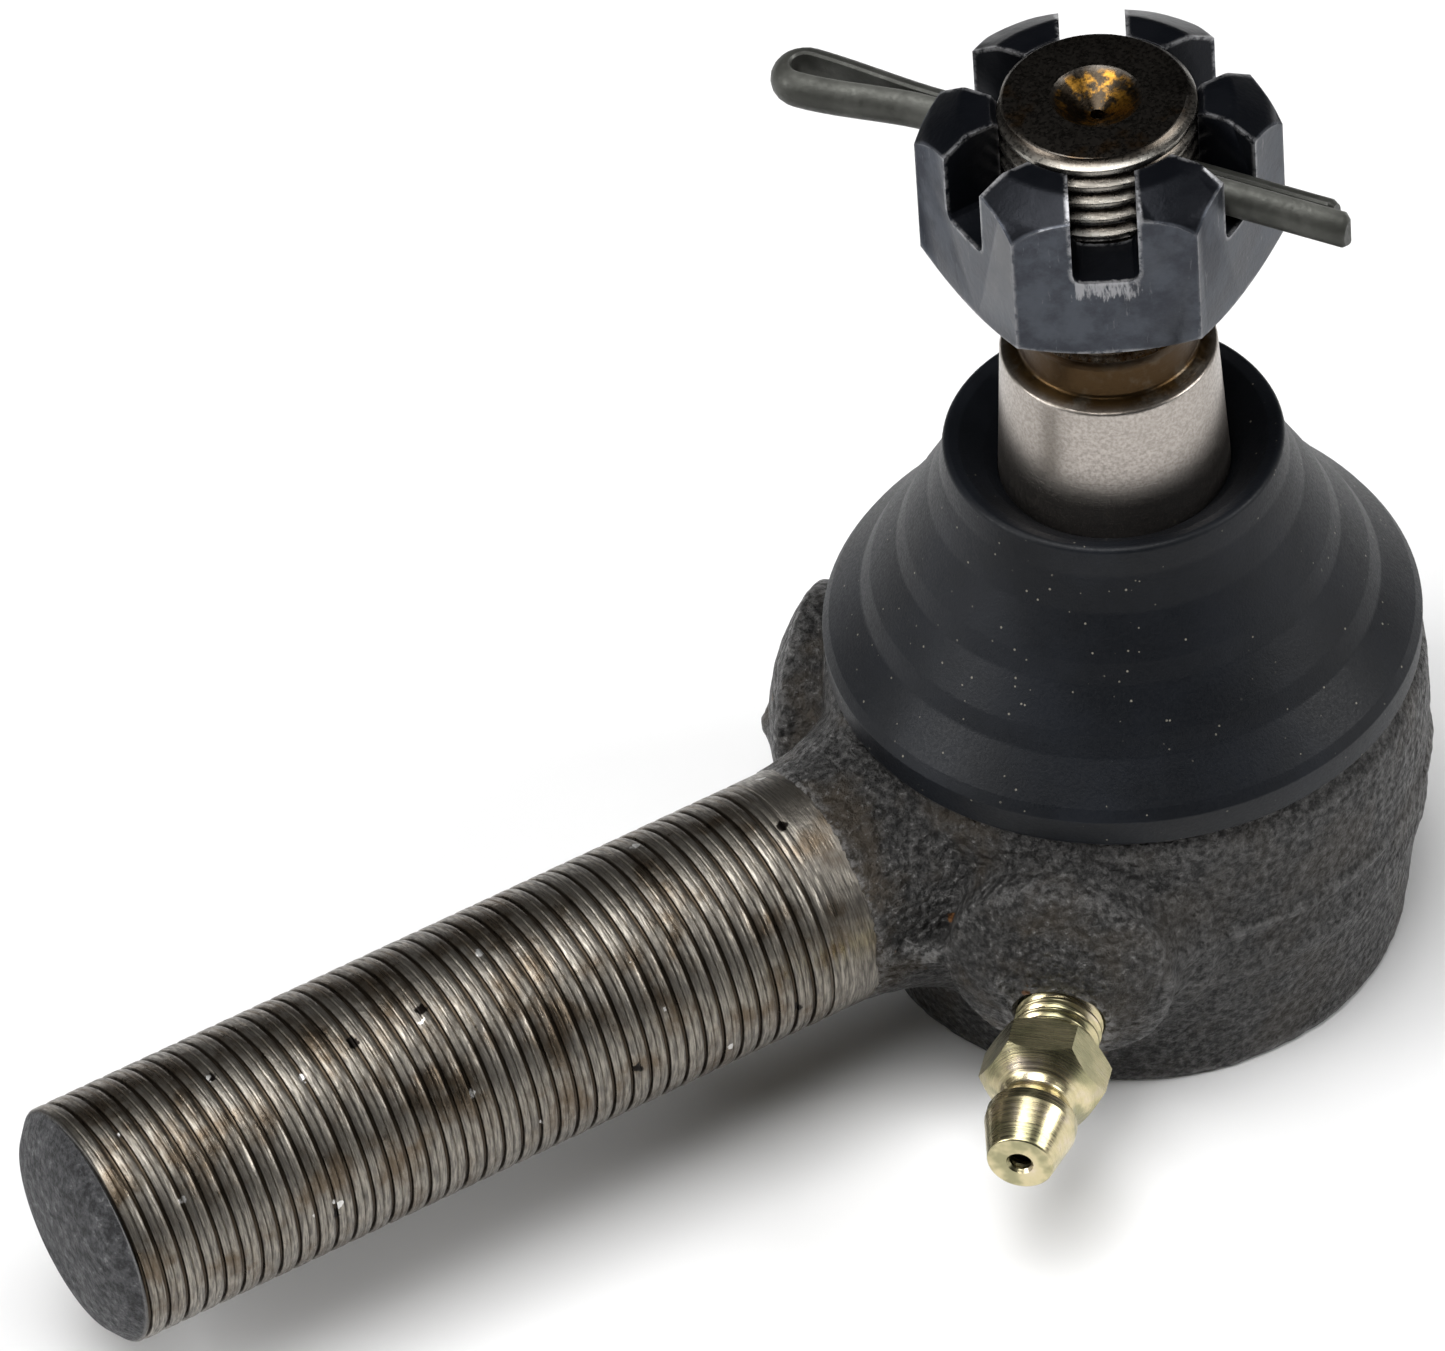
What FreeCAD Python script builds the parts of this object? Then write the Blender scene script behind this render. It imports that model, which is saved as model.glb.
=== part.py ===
import FreeCAD, Part
import math
import os

# Outer tie rod end: a forged housing with a threaded shank, a greasable half-ball joint inside it, a tapered
# ball stud with a slotted nut and a split pin, and a rubber boot.
# Frame: millimetres, +Z up along the stud, the shank points along -X, and the origin is the centre of the
# closing plate's outer face, which is level with the housing's lower edge.

# Joint centre and the angles of what stands round the stud
BALL_Z = 15.3
BOSS_ANGLES = {"drilled": 226.0, "plain": 134.0}
FITTING_ANGLE = 226.5
FITTING_Z = 12.0
PIN_ANGLE = 123.0

# Housing: outside
BASE_R = 19.7
PARTING_R = 22.0
SHOULDER_R = 21.8
HOUSING_H = 25.5
EDGE = 0.6
TOP_EDGE = 1.0
BOSS_R = 8.2
BOSS_REACH = 24.0
BOSS_DOME = 2.2
BOSS_ROOT = 10.0

# Housing: shank with an M18 x 1.5 thread, drawn at its mean major diameter
SHANK_R = 8.93
SHANK_START = -26.5
SHANK_FULL_END = -86.0
SHANK_TIP_X = -87.2
SHANK_TIP_R = 7.6
SHANK_END = -88.0
NECK_R = 12.0
NECK_X = -16.0
NECK_MID_R = 9.8
NECK_MID_X = -20.5

# Housing: inside
BORE_R = 15.0
BORE_TOP = 22.0
MOUTH_LOW_R = 11.2
MOUTH_TOP_R = 12.8
PLATE_BORE_R = 16.5
PLATE_SEAT_Z = 2.65
LIP_R = 14.6
LIP_Z = 1.2
GREASE_HOLE_R = 1.2

# Closing plate: a dished disc
PLATE_R = 16.45
PLATE_T = 1.4
PLATE_FLAT_R = 8.0
PLATE_STEP_R = 11.0
PLATE_STEP_IN = 0.6

# Disc spring between the plate and the lower bearing
SPRING_IN_R = 6.5
SPRING_OUT_R = 13.6
SPRING_T = 0.8
SPRING_LOW_Z = LIP_Z + PLATE_T
SPRING_HIGH_Z = 4.85

# Bearings and half ball, all about the ball centre
SEAT_R = 12.8
HALF_BALL_R = 12.7
HALF_BALL_LOW = -1.3
HALF_BALL_HIGH = 7.8
HALF_BALL_GAP = 0.08
HEAD_R = 9.2
CUP_R = 9.3
CUP_LOW_Z = SPRING_HIGH_Z
CUP_EDGE = 0.4
CUP_SIDE_Z = 7.05
CUP_SHOULDER_R = 11.4
CUP_SHOULDER_Z = 7.6
CUP_RIM_R = 7.4
CUP_RIM_Z = 10.3
UPPER_BEARING_LOW_Z = 13.4
LINER_R = 14.95

# Ball stud
HEAD_TOP = -1.4
HEAD_SINK = 2.0
NECK_BASE_R = 7.2
STUD_NECK_R = 6.6
STUD_NECK_TOP = 32.0
TAPER_LOW_Z = 35.5
TAPER_HIGH_Z = 54.5
TAPER_HIGH_R = 7.65
TAPER_SLOPE = 0.05
RELIEF_R = 6.1
RELIEF_DROP = 0.6
RELIEF_TOP = 57.5
THREAD_LEAD = 0.8
STUD_THREAD_R = 6.93
STUD_TOP = 77.1
STUD_TIP_R = 6.2
STUD_CHAMFER = 0.9
CENTRE_HOLE_R = 3.0
CENTRE_HOLE_DEPTH = 1.9

# Slotted nut
NUT_FLATS = 22.0
NUT_LOW_Z = 63.2
NUT_HIGH_Z = 76.3
NUT_BORE_R = 6.97
NUT_SEAT_R = 11.1
NUT_SEAT_DROP = 0.9
NUT_CROWN_R = 9.4
NUT_CROWN_DROP = 2.4
SLOT_W = 4.6
SLOT_DEPTH = 6.6

# Split pin
PIN_Z = 71.5
PIN_R = 1.5
PIN_HOLE_R = 1.65
PIN_GAP = 0.12
PIN_LONG_TIP = -19.1
PIN_SHORT_TIP = -17.6
PIN_EYE_START = 13.5
PIN_EYE_END = 24.8
EYE_R = 2.2
EYE_WIRE_R = 0.8
EYE_ROOT_Y = 0.72
EYE_ROOT_BACK = 1.2

# Boot: a plain rubber dome that sits on the housing and grips the stud
BOOT_LOW_Z = HOUSING_H
BOOT_RIM_R = 21.4
BOOT_RIM_TOP = 27.9
BOOT_SEAT_R = 18.8
BOOT_EDGE = 0.4
BOOT_LIP_R = 12.0
BOOT_LIP_H = 2.2
BOOT_LIP_Z = 45.5
BOOT_FUNNEL_R = 10.0
BOOT_HOLE_R = 8.4
BOOT_HOLE_LOW_Z = 40.4
BOOT_HOLE_HIGH_Z = 43.4
BOOT_DOME = [(20.7, 29.2), (18.0, 33.0), (15.3, 37.0), (13.2, 41.0)]
BOOT_INNER = [(18.6, 27.9), (15.9, 32.0), (13.2, 36.2), (11.2, 39.6)]

# Grease fitting: distances outwards along its own axis from the stud's axis
FIT_HOLE_END = 20.0
FIT_THREAD_END = 20.4
FIT_HEX_START = 29.05
FIT_HEX_END = 32.05
FIT_NECK = 33.85
FIT_HEAD_BACK = 34.65
FIT_HEAD_WIDE = 35.75
FIT_TIP = 39.65
FIT_THREAD_R = 3.17
FIT_THREAD_BORE_R = 3.19
FIT_FLATS = 7.94
FIT_NECK_R = 2.35
FIT_HEAD_R = 3.27
FIT_TIP_R = 2.3
FIT_EDGE = 0.5
FIT_NECK_RUN = 0.6
FIT_BORE_R = 1.2
FIT_MOUTH_R = 0.8
CHECK_BALL_R = 1.0
CHECK_SEAT = 38.65
CHECK_SEAT_SLOPE = 0.3
CHECK_GAP = 0.05
CHECK_SPRING_END = 26.65
CHECK_SPRING_WIRE_R = 0.15
CHECK_SPRING_R = 0.85
CHECK_SPRING_PITCH = 1.0

ORIGIN = FreeCAD.Vector(0, 0, 0)
UP = FreeCAD.Vector(0, 0, 1)
SMALL = 0.01


def vec(x, y, z):
    return FreeCAD.Vector(x, y, z)


def outline(points):
    """Closed face in the XZ plane from (radius, height) points."""
    corners = [vec(r, 0, z) for r, z in points]
    return Part.Face(Part.makePolygon(corners + [corners[0]]))


def turned(points):
    """Solid of revolution about Z of a closed (radius, height) outline."""
    return outline(points).revolve(ORIGIN, UP, 360)


def disc(radius, low, high):
    return Part.makeCylinder(radius, high - low, vec(0, 0, low))


def sphere(radius):
    return Part.makeSphere(radius, vec(0, 0, BALL_Z))


def slab(low, high, half=2 * PARTING_R):
    return Part.makeBox(2 * half, 2 * half, high - low, vec(-half, -half, low))


def placed_radially(shape, angle, height):
    """Move a shape made along +Z so that it points outwards at that angle and height."""
    shape.rotate(ORIGIN, vec(0, 1, 0), 90)
    shape.rotate(ORIGIN, UP, angle)
    shape.translate(vec(0, 0, height))
    return shape


def along_fitting(shape):
    """Move a shape made along +Z onto the grease fitting's axis."""
    return placed_radially(shape, FITTING_ANGLE, FITTING_Z)


def hexagon(flats, low, high, turn):
    """Six-sided prism about Z with flats facing turn, turn + 60 and so on."""
    corner_r = flats / math.sqrt(3)
    corners = []
    for step in range(7):
        angle = math.radians(turn + 30 + 60 * step)
        corners.append(vec(corner_r * math.cos(angle), corner_r * math.sin(angle), low))
    return Part.Face(Part.makePolygon(corners)).extrude(vec(0, 0, high - low))


def cap_middle(rim_r, rise):
    """Radius and height, above its rim, of the middle of a spherical cap's outline."""
    ball_r = (rim_r ** 2 + rise ** 2) / (2 * rise)
    mid_r = rim_r / 2
    return mid_r, rise - ball_r + math.sqrt(ball_r ** 2 - mid_r ** 2)


def radial_boss(angle):
    """Round boss with a domed face, square to the stud's axis."""
    root = BOSS_ROOT
    crown = BOSS_REACH + BOSS_DOME
    mid_r, mid_rise = cap_middle(BOSS_R, BOSS_DOME)
    dome = Part.Arc(vec(BOSS_R, 0, BOSS_REACH), vec(mid_r, 0, BOSS_REACH + mid_rise), vec(0, 0, crown))
    edges = [
        Part.makeLine(vec(0, 0, root), vec(BOSS_R, 0, root)),
        Part.makeLine(vec(BOSS_R, 0, root), vec(BOSS_R, 0, BOSS_REACH)),
        dome.toShape(),
        Part.makeLine(vec(0, 0, crown), vec(0, 0, root)),
    ]
    boss = Part.Face(Part.Wire(edges)).revolve(ORIGIN, UP, 360)
    return placed_radially(boss, angle, BALL_Z)


def shank():
    """Threaded shank and the neck that flares into the housing."""
    flare = Part.Arc(vec(NECK_X, NECK_R, 0), vec(NECK_MID_X, NECK_MID_R, 0), vec(SHANK_START, SHANK_R, 0))
    mid_r, mid_rise = cap_middle(SHANK_TIP_R, SHANK_TIP_X - SHANK_END)
    dome = Part.Arc(vec(SHANK_TIP_X, SHANK_TIP_R, 0), vec(SHANK_TIP_X - mid_rise, mid_r, 0), vec(SHANK_END, 0, 0))
    edges = [
        Part.makeLine(ORIGIN, vec(0, NECK_R, 0)),
        Part.makeLine(vec(0, NECK_R, 0), vec(NECK_X, NECK_R, 0)),
        flare.toShape(),
        Part.makeLine(vec(SHANK_START, SHANK_R, 0), vec(SHANK_FULL_END, SHANK_R, 0)),
        Part.makeLine(vec(SHANK_FULL_END, SHANK_R, 0), vec(SHANK_TIP_X, SHANK_TIP_R, 0)),
        dome.toShape(),
        Part.makeLine(vec(SHANK_END, 0, 0), ORIGIN),
    ]
    solid = Part.Face(Part.Wire(edges)).revolve(ORIGIN, vec(1, 0, 0), 360)
    solid.translate(vec(0, 0, BALL_Z))
    return solid.common(slab(EDGE, HOUSING_H - EDGE, -2 * SHANK_END))


def housing():
    """Forged eye with its shank and two bosses, bored from below."""
    body = turned([
        (0, 0),
        (BASE_R - EDGE, 0),
        (BASE_R, EDGE),
        (PARTING_R, BALL_Z),
        (SHOULDER_R, HOUSING_H - TOP_EDGE),
        (SHOULDER_R - TOP_EDGE, HOUSING_H),
        (0, HOUSING_H),
    ])
    body = body.fuse(shank())
    for angle in BOSS_ANGLES.values():
        body = body.fuse(radial_boss(angle))
    cavity = turned([
        (0, -1),
        (LIP_R, -1),
        (LIP_R, LIP_Z),
        (PLATE_BORE_R, LIP_Z),
        (PLATE_BORE_R, PLATE_SEAT_Z),
        (BORE_R, PLATE_SEAT_Z),
        (BORE_R, BORE_TOP),
        (MOUTH_LOW_R, BORE_TOP),
        (MOUTH_TOP_R, HOUSING_H + SMALL),
        (0, HOUSING_H + SMALL),
    ])
    body = body.cut(cavity)
    hole = Part.makeCylinder(FIT_THREAD_BORE_R, BOSS_ROOT, vec(0, 0, FIT_HOLE_END))
    passage = Part.makeCylinder(GREASE_HOLE_R, FIT_HOLE_END - BORE_R + 2, vec(0, 0, BORE_R - 1))
    body = body.cut(along_fitting(hole.fuse(passage)))
    return body.removeSplitter()


def cover_plate():
    """Dished closing plate, held by the housing's rolled lip."""
    return turned([
        (0, 0),
        (PLATE_FLAT_R, 0),
        (PLATE_STEP_R, LIP_Z),
        (PLATE_R, LIP_Z),
        (PLATE_R, LIP_Z + PLATE_T),
        (PLATE_STEP_R - PLATE_STEP_IN, LIP_Z + PLATE_T),
        (PLATE_FLAT_R - PLATE_STEP_IN, PLATE_T),
        (0, PLATE_T),
    ])


def preload_spring():
    """Disc spring that presses the lower bearing up against the stud's head."""
    return turned([
        (SPRING_IN_R, SPRING_HIGH_Z - SPRING_T),
        (SPRING_OUT_R, SPRING_LOW_Z),
        (SPRING_OUT_R, SPRING_LOW_Z + SPRING_T),
        (SPRING_IN_R, SPRING_HIGH_Z),
    ])


def lower_bearing():
    """Cup under the stud's head; its rim stays below the half ball at full tilt."""
    blank = turned([
        (0, CUP_LOW_Z),
        (LINER_R - CUP_EDGE, CUP_LOW_Z),
        (LINER_R, CUP_LOW_Z + CUP_EDGE),
        (LINER_R, CUP_SIDE_Z),
        (CUP_SHOULDER_R, CUP_SHOULDER_Z),
        (CUP_RIM_R, CUP_RIM_Z),
        (0, CUP_RIM_Z),
    ])
    return blank.cut(sphere(CUP_R))


def upper_bearing():
    """Hardened race that the half ball swings in."""
    ring = disc(LINER_R, UPPER_BEARING_LOW_Z, BORE_TOP)
    return ring.cut(sphere(SEAT_R))


def half_ball():
    """Spherical collar that sits on the stud's head and turns about its neck."""
    low = BALL_Z + HALF_BALL_LOW
    high = BALL_Z + HALF_BALL_HIGH
    solid = sphere(HALF_BALL_R).common(slab(low, high))
    bore = turned([
        (0, low - SMALL),
        (NECK_BASE_R + HALF_BALL_GAP, low - SMALL),
        (STUD_NECK_R + HALF_BALL_GAP, high + SMALL),
        (0, high + SMALL),
    ])
    return solid.cut(bore)


def ball_stud():
    """Stud: spherical head, neck, 1:10 taper, relief and an M14 x 1.5 thread drawn at its major diameter."""
    head = sphere(HEAD_R).common(slab(0, BALL_Z + HEAD_TOP))
    taper_low_r = TAPER_HIGH_R + TAPER_SLOPE * (TAPER_HIGH_Z - TAPER_LOW_Z)
    shaft = turned([
        (0, BALL_Z + HEAD_TOP - HEAD_SINK),
        (NECK_BASE_R, BALL_Z + HEAD_TOP - HEAD_SINK),
        (NECK_BASE_R, BALL_Z + HEAD_TOP),
        (STUD_NECK_R, BALL_Z + HALF_BALL_HIGH),
        (STUD_NECK_R, STUD_NECK_TOP),
        (taper_low_r, TAPER_LOW_Z),
        (TAPER_HIGH_R, TAPER_HIGH_Z),
        (RELIEF_R, TAPER_HIGH_Z + RELIEF_DROP),
        (RELIEF_R, RELIEF_TOP),
        (STUD_THREAD_R, RELIEF_TOP + THREAD_LEAD),
        (STUD_THREAD_R, STUD_TOP - STUD_CHAMFER),
        (STUD_TIP_R, STUD_TOP),
        (0, STUD_TOP),
    ])
    stud = head.fuse(shaft)
    dimple = Part.makeCone(0, CENTRE_HOLE_R, CENTRE_HOLE_DEPTH, vec(0, 0, STUD_TOP - CENTRE_HOLE_DEPTH + SMALL))
    pin_hole = Part.makeCylinder(PIN_HOLE_R, 4 * STUD_THREAD_R, vec(-2 * STUD_THREAD_R, 0, PIN_Z), vec(1, 0, 0))
    pin_hole.rotate(ORIGIN, UP, PIN_ANGLE)
    return stud.cut(dimple).cut(pin_hole)


def castle_nut():
    """Six-slotted hexagon nut: a small chamfer on its seat and a deep one on its crown."""
    nut = hexagon(NUT_FLATS, NUT_LOW_Z, NUT_HIGH_Z, 0)
    corner_r = NUT_FLATS / math.sqrt(3)
    blank = turned([
        (0, NUT_LOW_Z),
        (NUT_SEAT_R, NUT_LOW_Z),
        (corner_r, NUT_LOW_Z + NUT_SEAT_DROP),
        (corner_r, NUT_HIGH_Z - NUT_CROWN_DROP),
        (NUT_CROWN_R, NUT_HIGH_Z),
        (0, NUT_HIGH_Z),
    ])
    nut = nut.common(blank)
    nut = nut.cut(disc(NUT_BORE_R, NUT_LOW_Z - 1, NUT_HIGH_Z + 1))
    for turn in (0, 60, 120):
        slot_start = vec(-NUT_FLATS, -SLOT_W / 2, NUT_HIGH_Z - SLOT_DEPTH)
        slot = Part.makeBox(2 * NUT_FLATS, SLOT_W, SLOT_DEPTH + 1, slot_start)
        slot.rotate(ORIGIN, UP, turn)
        nut = nut.cut(slot)
    return nut


def pin_leg(tip, side):
    """One half-round leg along X, on the side given by +1 or -1."""
    leg = Part.makeCylinder(PIN_R, PIN_EYE_START - tip, vec(tip, 0, 0), vec(1, 0, 0))
    half_w = 2 * PIN_R
    cutter_y = PIN_GAP / 2 if side > 0 else -half_w - PIN_GAP / 2
    side_box = Part.makeBox(PIN_EYE_START - tip, half_w, 2 * half_w, vec(tip, cutter_y, -half_w))
    return leg.common(side_box)


def cotter_pin():
    """Split pin: two half-round legs of unequal length and a round eye."""
    body = pin_leg(PIN_LONG_TIP, 1).fuse(pin_leg(PIN_SHORT_TIP, -1))
    centre = PIN_EYE_END - EYE_R - EYE_WIRE_R
    loop = Part.makeTorus(EYE_R, EYE_WIRE_R, vec(centre, 0, 0), UP, 0, 360, 180)
    loop.rotate(vec(centre, 0, 0), UP, -90)
    body = body.fuse(loop)
    start = PIN_EYE_START - EYE_ROOT_BACK
    for side in (1, -1):
        first = vec(start, side * EYE_ROOT_Y, 0)
        last = vec(centre, side * EYE_R, 0)
        rod = Part.makeCylinder(EYE_WIRE_R, first.distanceToPoint(last), first, last - first)
        knuckle = Part.makeSphere(EYE_WIRE_R, last)
        body = body.fuse(rod).fuse(knuckle)
    body.rotate(ORIGIN, UP, PIN_ANGLE)
    body.translate(vec(0, 0, PIN_Z))
    return body


def dust_boot():
    """Rubber dome: a rim on the housing, a curved wall and a thick lip round the stud."""
    outer = [
        (BOOT_RIM_R - BOOT_EDGE, BOOT_LOW_Z),
        (BOOT_RIM_R, BOOT_LOW_Z + BOOT_EDGE),
        (BOOT_RIM_R, BOOT_RIM_TOP),
    ]
    lip = [
        (BOOT_LIP_R + BOOT_EDGE / 4, BOOT_LIP_Z - BOOT_LIP_H),
        (BOOT_LIP_R, BOOT_LIP_Z),
        (BOOT_FUNNEL_R, BOOT_LIP_Z - BOOT_EDGE),
        (BOOT_HOLE_R, BOOT_HOLE_HIGH_Z),
        (BOOT_HOLE_R, BOOT_HOLE_LOW_Z),
    ]
    inner = list(reversed(BOOT_INNER)) + [(BOOT_SEAT_R, BOOT_LOW_Z)]
    return turned(outer + BOOT_DOME + lip + inner)


def grease_fitting_body():
    """Grease fitting: thread, hexagon and head, with a bore for its ball and spring."""
    hex_corner = FIT_FLATS / math.sqrt(3)
    thread = turned([
        (0, FIT_THREAD_END),
        (FIT_THREAD_R - FIT_EDGE, FIT_THREAD_END),
        (FIT_THREAD_R, FIT_THREAD_END + FIT_EDGE),
        (FIT_THREAD_R, FIT_HEX_START),
        (0, FIT_HEX_START),
    ])
    head = turned([
        (0, FIT_HEX_START),
        (FIT_FLATS / 2, FIT_HEX_START),
        (hex_corner, FIT_HEX_START + FIT_EDGE),
        (hex_corner, FIT_HEX_END - FIT_EDGE),
        (FIT_NECK_R + FIT_EDGE / 2, FIT_NECK - FIT_NECK_RUN),
        (FIT_NECK_R, FIT_NECK),
        (FIT_HEAD_R - FIT_EDGE / 2, FIT_HEAD_BACK),
        (FIT_HEAD_R, FIT_HEAD_WIDE),
        (FIT_TIP_R, FIT_TIP),
        (0, FIT_TIP),
    ])
    prism = hexagon(FIT_FLATS, FIT_HEX_START, FIT_TIP, 0)
    body = thread.fuse(head.common(prism))
    bore = turned([
        (0, FIT_THREAD_END - 1),
        (FIT_BORE_R, FIT_THREAD_END - 1),
        (FIT_BORE_R, CHECK_SEAT - CHECK_SEAT_SLOPE),
        (FIT_MOUTH_R, CHECK_SEAT + CHECK_SEAT_SLOPE),
        (FIT_MOUTH_R, FIT_TIP + 1),
        (0, FIT_TIP + 1),
    ])
    return along_fitting(body.cut(bore))


def check_ball_centre():
    """Where the ball touches its conical seat, less a small gap."""
    return CHECK_SEAT - CHECK_BALL_R - CHECK_GAP


def check_ball():
    """Ball that closes the fitting's mouth."""
    return along_fitting(Part.makeSphere(CHECK_BALL_R, vec(0, 0, check_ball_centre())))


def check_spring():
    """Coil spring behind the ball."""
    start = CHECK_SPRING_END
    length = check_ball_centre() - CHECK_BALL_R * 0.75 - start
    path = Part.makeHelix(CHECK_SPRING_PITCH, length, CHECK_SPRING_R)
    path.translate(vec(0, 0, start))
    section = Part.Wire(Part.makeCircle(CHECK_SPRING_WIRE_R, vec(CHECK_SPRING_R, 0, start), vec(0, 1, 0)))
    coil = Part.Wire(path.Edges).makePipeShell([section], True, True)
    return along_fitting(coil)


NODES = {
    "housing": housing,
    "cover_plate": cover_plate,
    "preload_spring": preload_spring,
    "lower_bearing": lower_bearing,
    "upper_bearing": upper_bearing,
    "half_ball": half_ball,
    "ball_stud": ball_stud,
    "dust_boot": dust_boot,
    "castle_nut": castle_nut,
    "cotter_pin": cotter_pin,
    "grease_fitting_body": grease_fitting_body,
    "check_ball": check_ball,
    "check_spring": check_spring,
}

os.makedirs("parts", exist_ok=True)
for name, make in NODES.items():
    shape = make()
    print(name, shape.isValid(), len(shape.Solids), round(shape.Volume, 2))
    shape.exportStep("parts/" + name + ".step")
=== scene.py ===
import logging
import math
from dataclasses import dataclass
from enum import Enum

import bpy
from mathutils import Matrix, Vector


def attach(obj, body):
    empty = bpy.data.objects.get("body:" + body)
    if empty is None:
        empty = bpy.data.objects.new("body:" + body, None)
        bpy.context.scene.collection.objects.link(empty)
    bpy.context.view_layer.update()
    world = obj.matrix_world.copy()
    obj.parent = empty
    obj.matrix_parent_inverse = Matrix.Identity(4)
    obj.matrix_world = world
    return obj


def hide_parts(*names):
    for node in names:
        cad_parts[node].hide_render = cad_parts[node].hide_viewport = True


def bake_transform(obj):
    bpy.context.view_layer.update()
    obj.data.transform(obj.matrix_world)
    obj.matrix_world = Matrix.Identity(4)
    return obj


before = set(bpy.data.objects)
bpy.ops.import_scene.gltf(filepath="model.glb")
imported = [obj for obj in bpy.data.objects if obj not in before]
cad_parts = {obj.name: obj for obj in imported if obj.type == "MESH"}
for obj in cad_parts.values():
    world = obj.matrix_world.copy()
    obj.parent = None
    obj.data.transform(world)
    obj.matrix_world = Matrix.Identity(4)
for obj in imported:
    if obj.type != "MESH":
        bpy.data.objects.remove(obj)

log = logging.getLogger("tie_rod_end")

MM = 0.001
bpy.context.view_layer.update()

Point = tuple[float, float]


class Body(Enum):
    """The bodies of the frame that new pieces ride on."""

    HOUSING = "housing_body"
    BOOT = "boot_body"
    HALF_BALL = "half_ball_body"
    CHECK_BALL = "check_ball_body"
    STUD = "stud_body"
    PIN = "pin_body"


class Cut(Enum):
    """How one closed solid acts on another."""

    TAKE_AWAY = "DIFFERENCE"
    KEEP_COMMON = "INTERSECT"
    ADD = "UNION"


# ----------------------------------------------------------------------
# Bench: the few operations that every piece is made with.
# Pieces are made in millimetres and placed in metres.
# ----------------------------------------------------------------------


def select_only(piece: bpy.types.Object) -> None:
    """Deselect everything, then select and activate one piece.

    Args:
        piece: The object that the next operators act on.
    """
    bpy.ops.object.select_all(action="DESELECT")
    piece.select_set(True)
    bpy.context.view_layer.objects.active = piece


def edit(piece: bpy.types.Object) -> None:
    """Enter edit mode on one piece with all of it selected."""
    select_only(piece)
    bpy.ops.object.mode_set(mode="EDIT")
    bpy.ops.mesh.select_all(action="SELECT")


def leave_edit() -> None:
    """Leave edit mode."""
    bpy.ops.object.mode_set(mode="OBJECT")


def start_point(name: str, at: Vector) -> bpy.types.Object:
    """Start a piece as one vertex, and stay in edit mode.

    Args:
        name: The new piece's name.
        at: Where the vertex stands, in millimetres.

    Returns:
        The new piece, in edit mode, with its vertex selected.
    """
    bpy.ops.object.select_all(action="DESELECT")
    bpy.ops.mesh.primitive_plane_add(size=1.0, location=(0, 0, 0))
    piece = bpy.context.active_object
    piece.name = name
    piece.data.name = name
    bpy.ops.object.mode_set(mode="EDIT")
    bpy.ops.mesh.select_mode(type="VERT")
    bpy.ops.mesh.select_all(action="SELECT")
    bpy.ops.mesh.merge(type="CENTER")
    bpy.ops.transform.translate(value=at)
    return piece


def draw_line(points: list[Vector]) -> None:
    """Extrude the selected vertex from point to point.

    Args:
        points: The line's points; the vertex already stands on the first.
    """
    for here, there in zip(points, points[1:]):
        bpy.ops.mesh.extrude_vertices_move(TRANSFORM_OT_translate={"value": there - here})


def close_mesh(merge: float = 1e-4) -> None:
    """Merge doubles and turn the faces outwards, in edit mode.

    Args:
        merge: Vertices nearer than this become one, in millimetres.
    """
    bpy.ops.mesh.select_all(action="SELECT")
    bpy.ops.mesh.remove_doubles(threshold=merge)
    bpy.ops.mesh.select_all(action="SELECT")
    bpy.ops.mesh.normals_make_consistent(inside=False)


def rounded(corners: list[tuple[float, float, float]], steps: int = 4) -> list[Point]:
    """Round the corners of an outline.

    Args:
        corners: (radius, height, rounding) of each corner, in order.
        steps: Straight pieces in each rounding.

    Returns:
        The outline's points.
    """
    points: list[Point] = []
    for index, (r, z, rounding) in enumerate(corners):
        here = Vector((r, z))
        if rounding <= 0 or index in (0, len(corners) - 1):
            points.append((r, z))
            continue
        back = (Vector(corners[index - 1][:2]) - here).normalized()
        ahead = (Vector(corners[index + 1][:2]) - here).normalized()
        half = math.acos(max(-1.0, min(1.0, back.dot(ahead)))) / 2
        if half > math.radians(88):
            points.append((r, z))
            continue
        reach = rounding / math.tan(half)
        centre = here + (back + ahead).normalized() * (rounding / math.sin(half))
        first, last = here + back * reach - centre, here + ahead * reach - centre
        for step in range(steps + 1):
            share = step / steps
            way = first.lerp(last, share).normalized() * rounding
            points.append((centre.x + way.x, centre.y + way.y))
    return points


def turned(name: str, outline: list[Point], steps: int = 96) -> bpy.types.Object:
    """Turn an outline about the Z axis, as on a lathe.

    Args:
        name: The new piece's name.
        outline: (radius, height) points from axis to axis, or a closed ring that repeats its first point.
        steps: Faces round the piece.

    Returns:
        The closed piece, in object mode, in millimetres.
    """
    points = [Vector((r, 0, z)) for r, z in outline]
    piece = start_point(name, points[0])
    draw_line(points)
    bpy.ops.mesh.select_all(action="SELECT")
    bpy.ops.mesh.spin(steps=steps, angle=2 * math.pi, center=(0, 0, 0), axis=(0, 0, 1))
    close_mesh()
    leave_edit()
    return piece


def hexagon(name: str, flats: float, low: float, high: float) -> bpy.types.Object:
    """A six-sided prism about Z.

    Args:
        name: The new piece's name.
        flats: Its width across flats.
        low: Its lower end.
        high: Its upper end.

    Returns:
        The closed prism, in object mode, in millimetres.
    """
    bpy.ops.object.select_all(action="DESELECT")
    bpy.ops.mesh.primitive_cylinder_add(
        vertices=6, radius=flats / math.sqrt(3), depth=high - low, location=(0, 0, (low + high) / 2)
    )
    piece = bpy.context.active_object
    piece.name = name
    piece.data.name = name
    turn_by(piece, piece.matrix_world.copy())
    return piece


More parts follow.
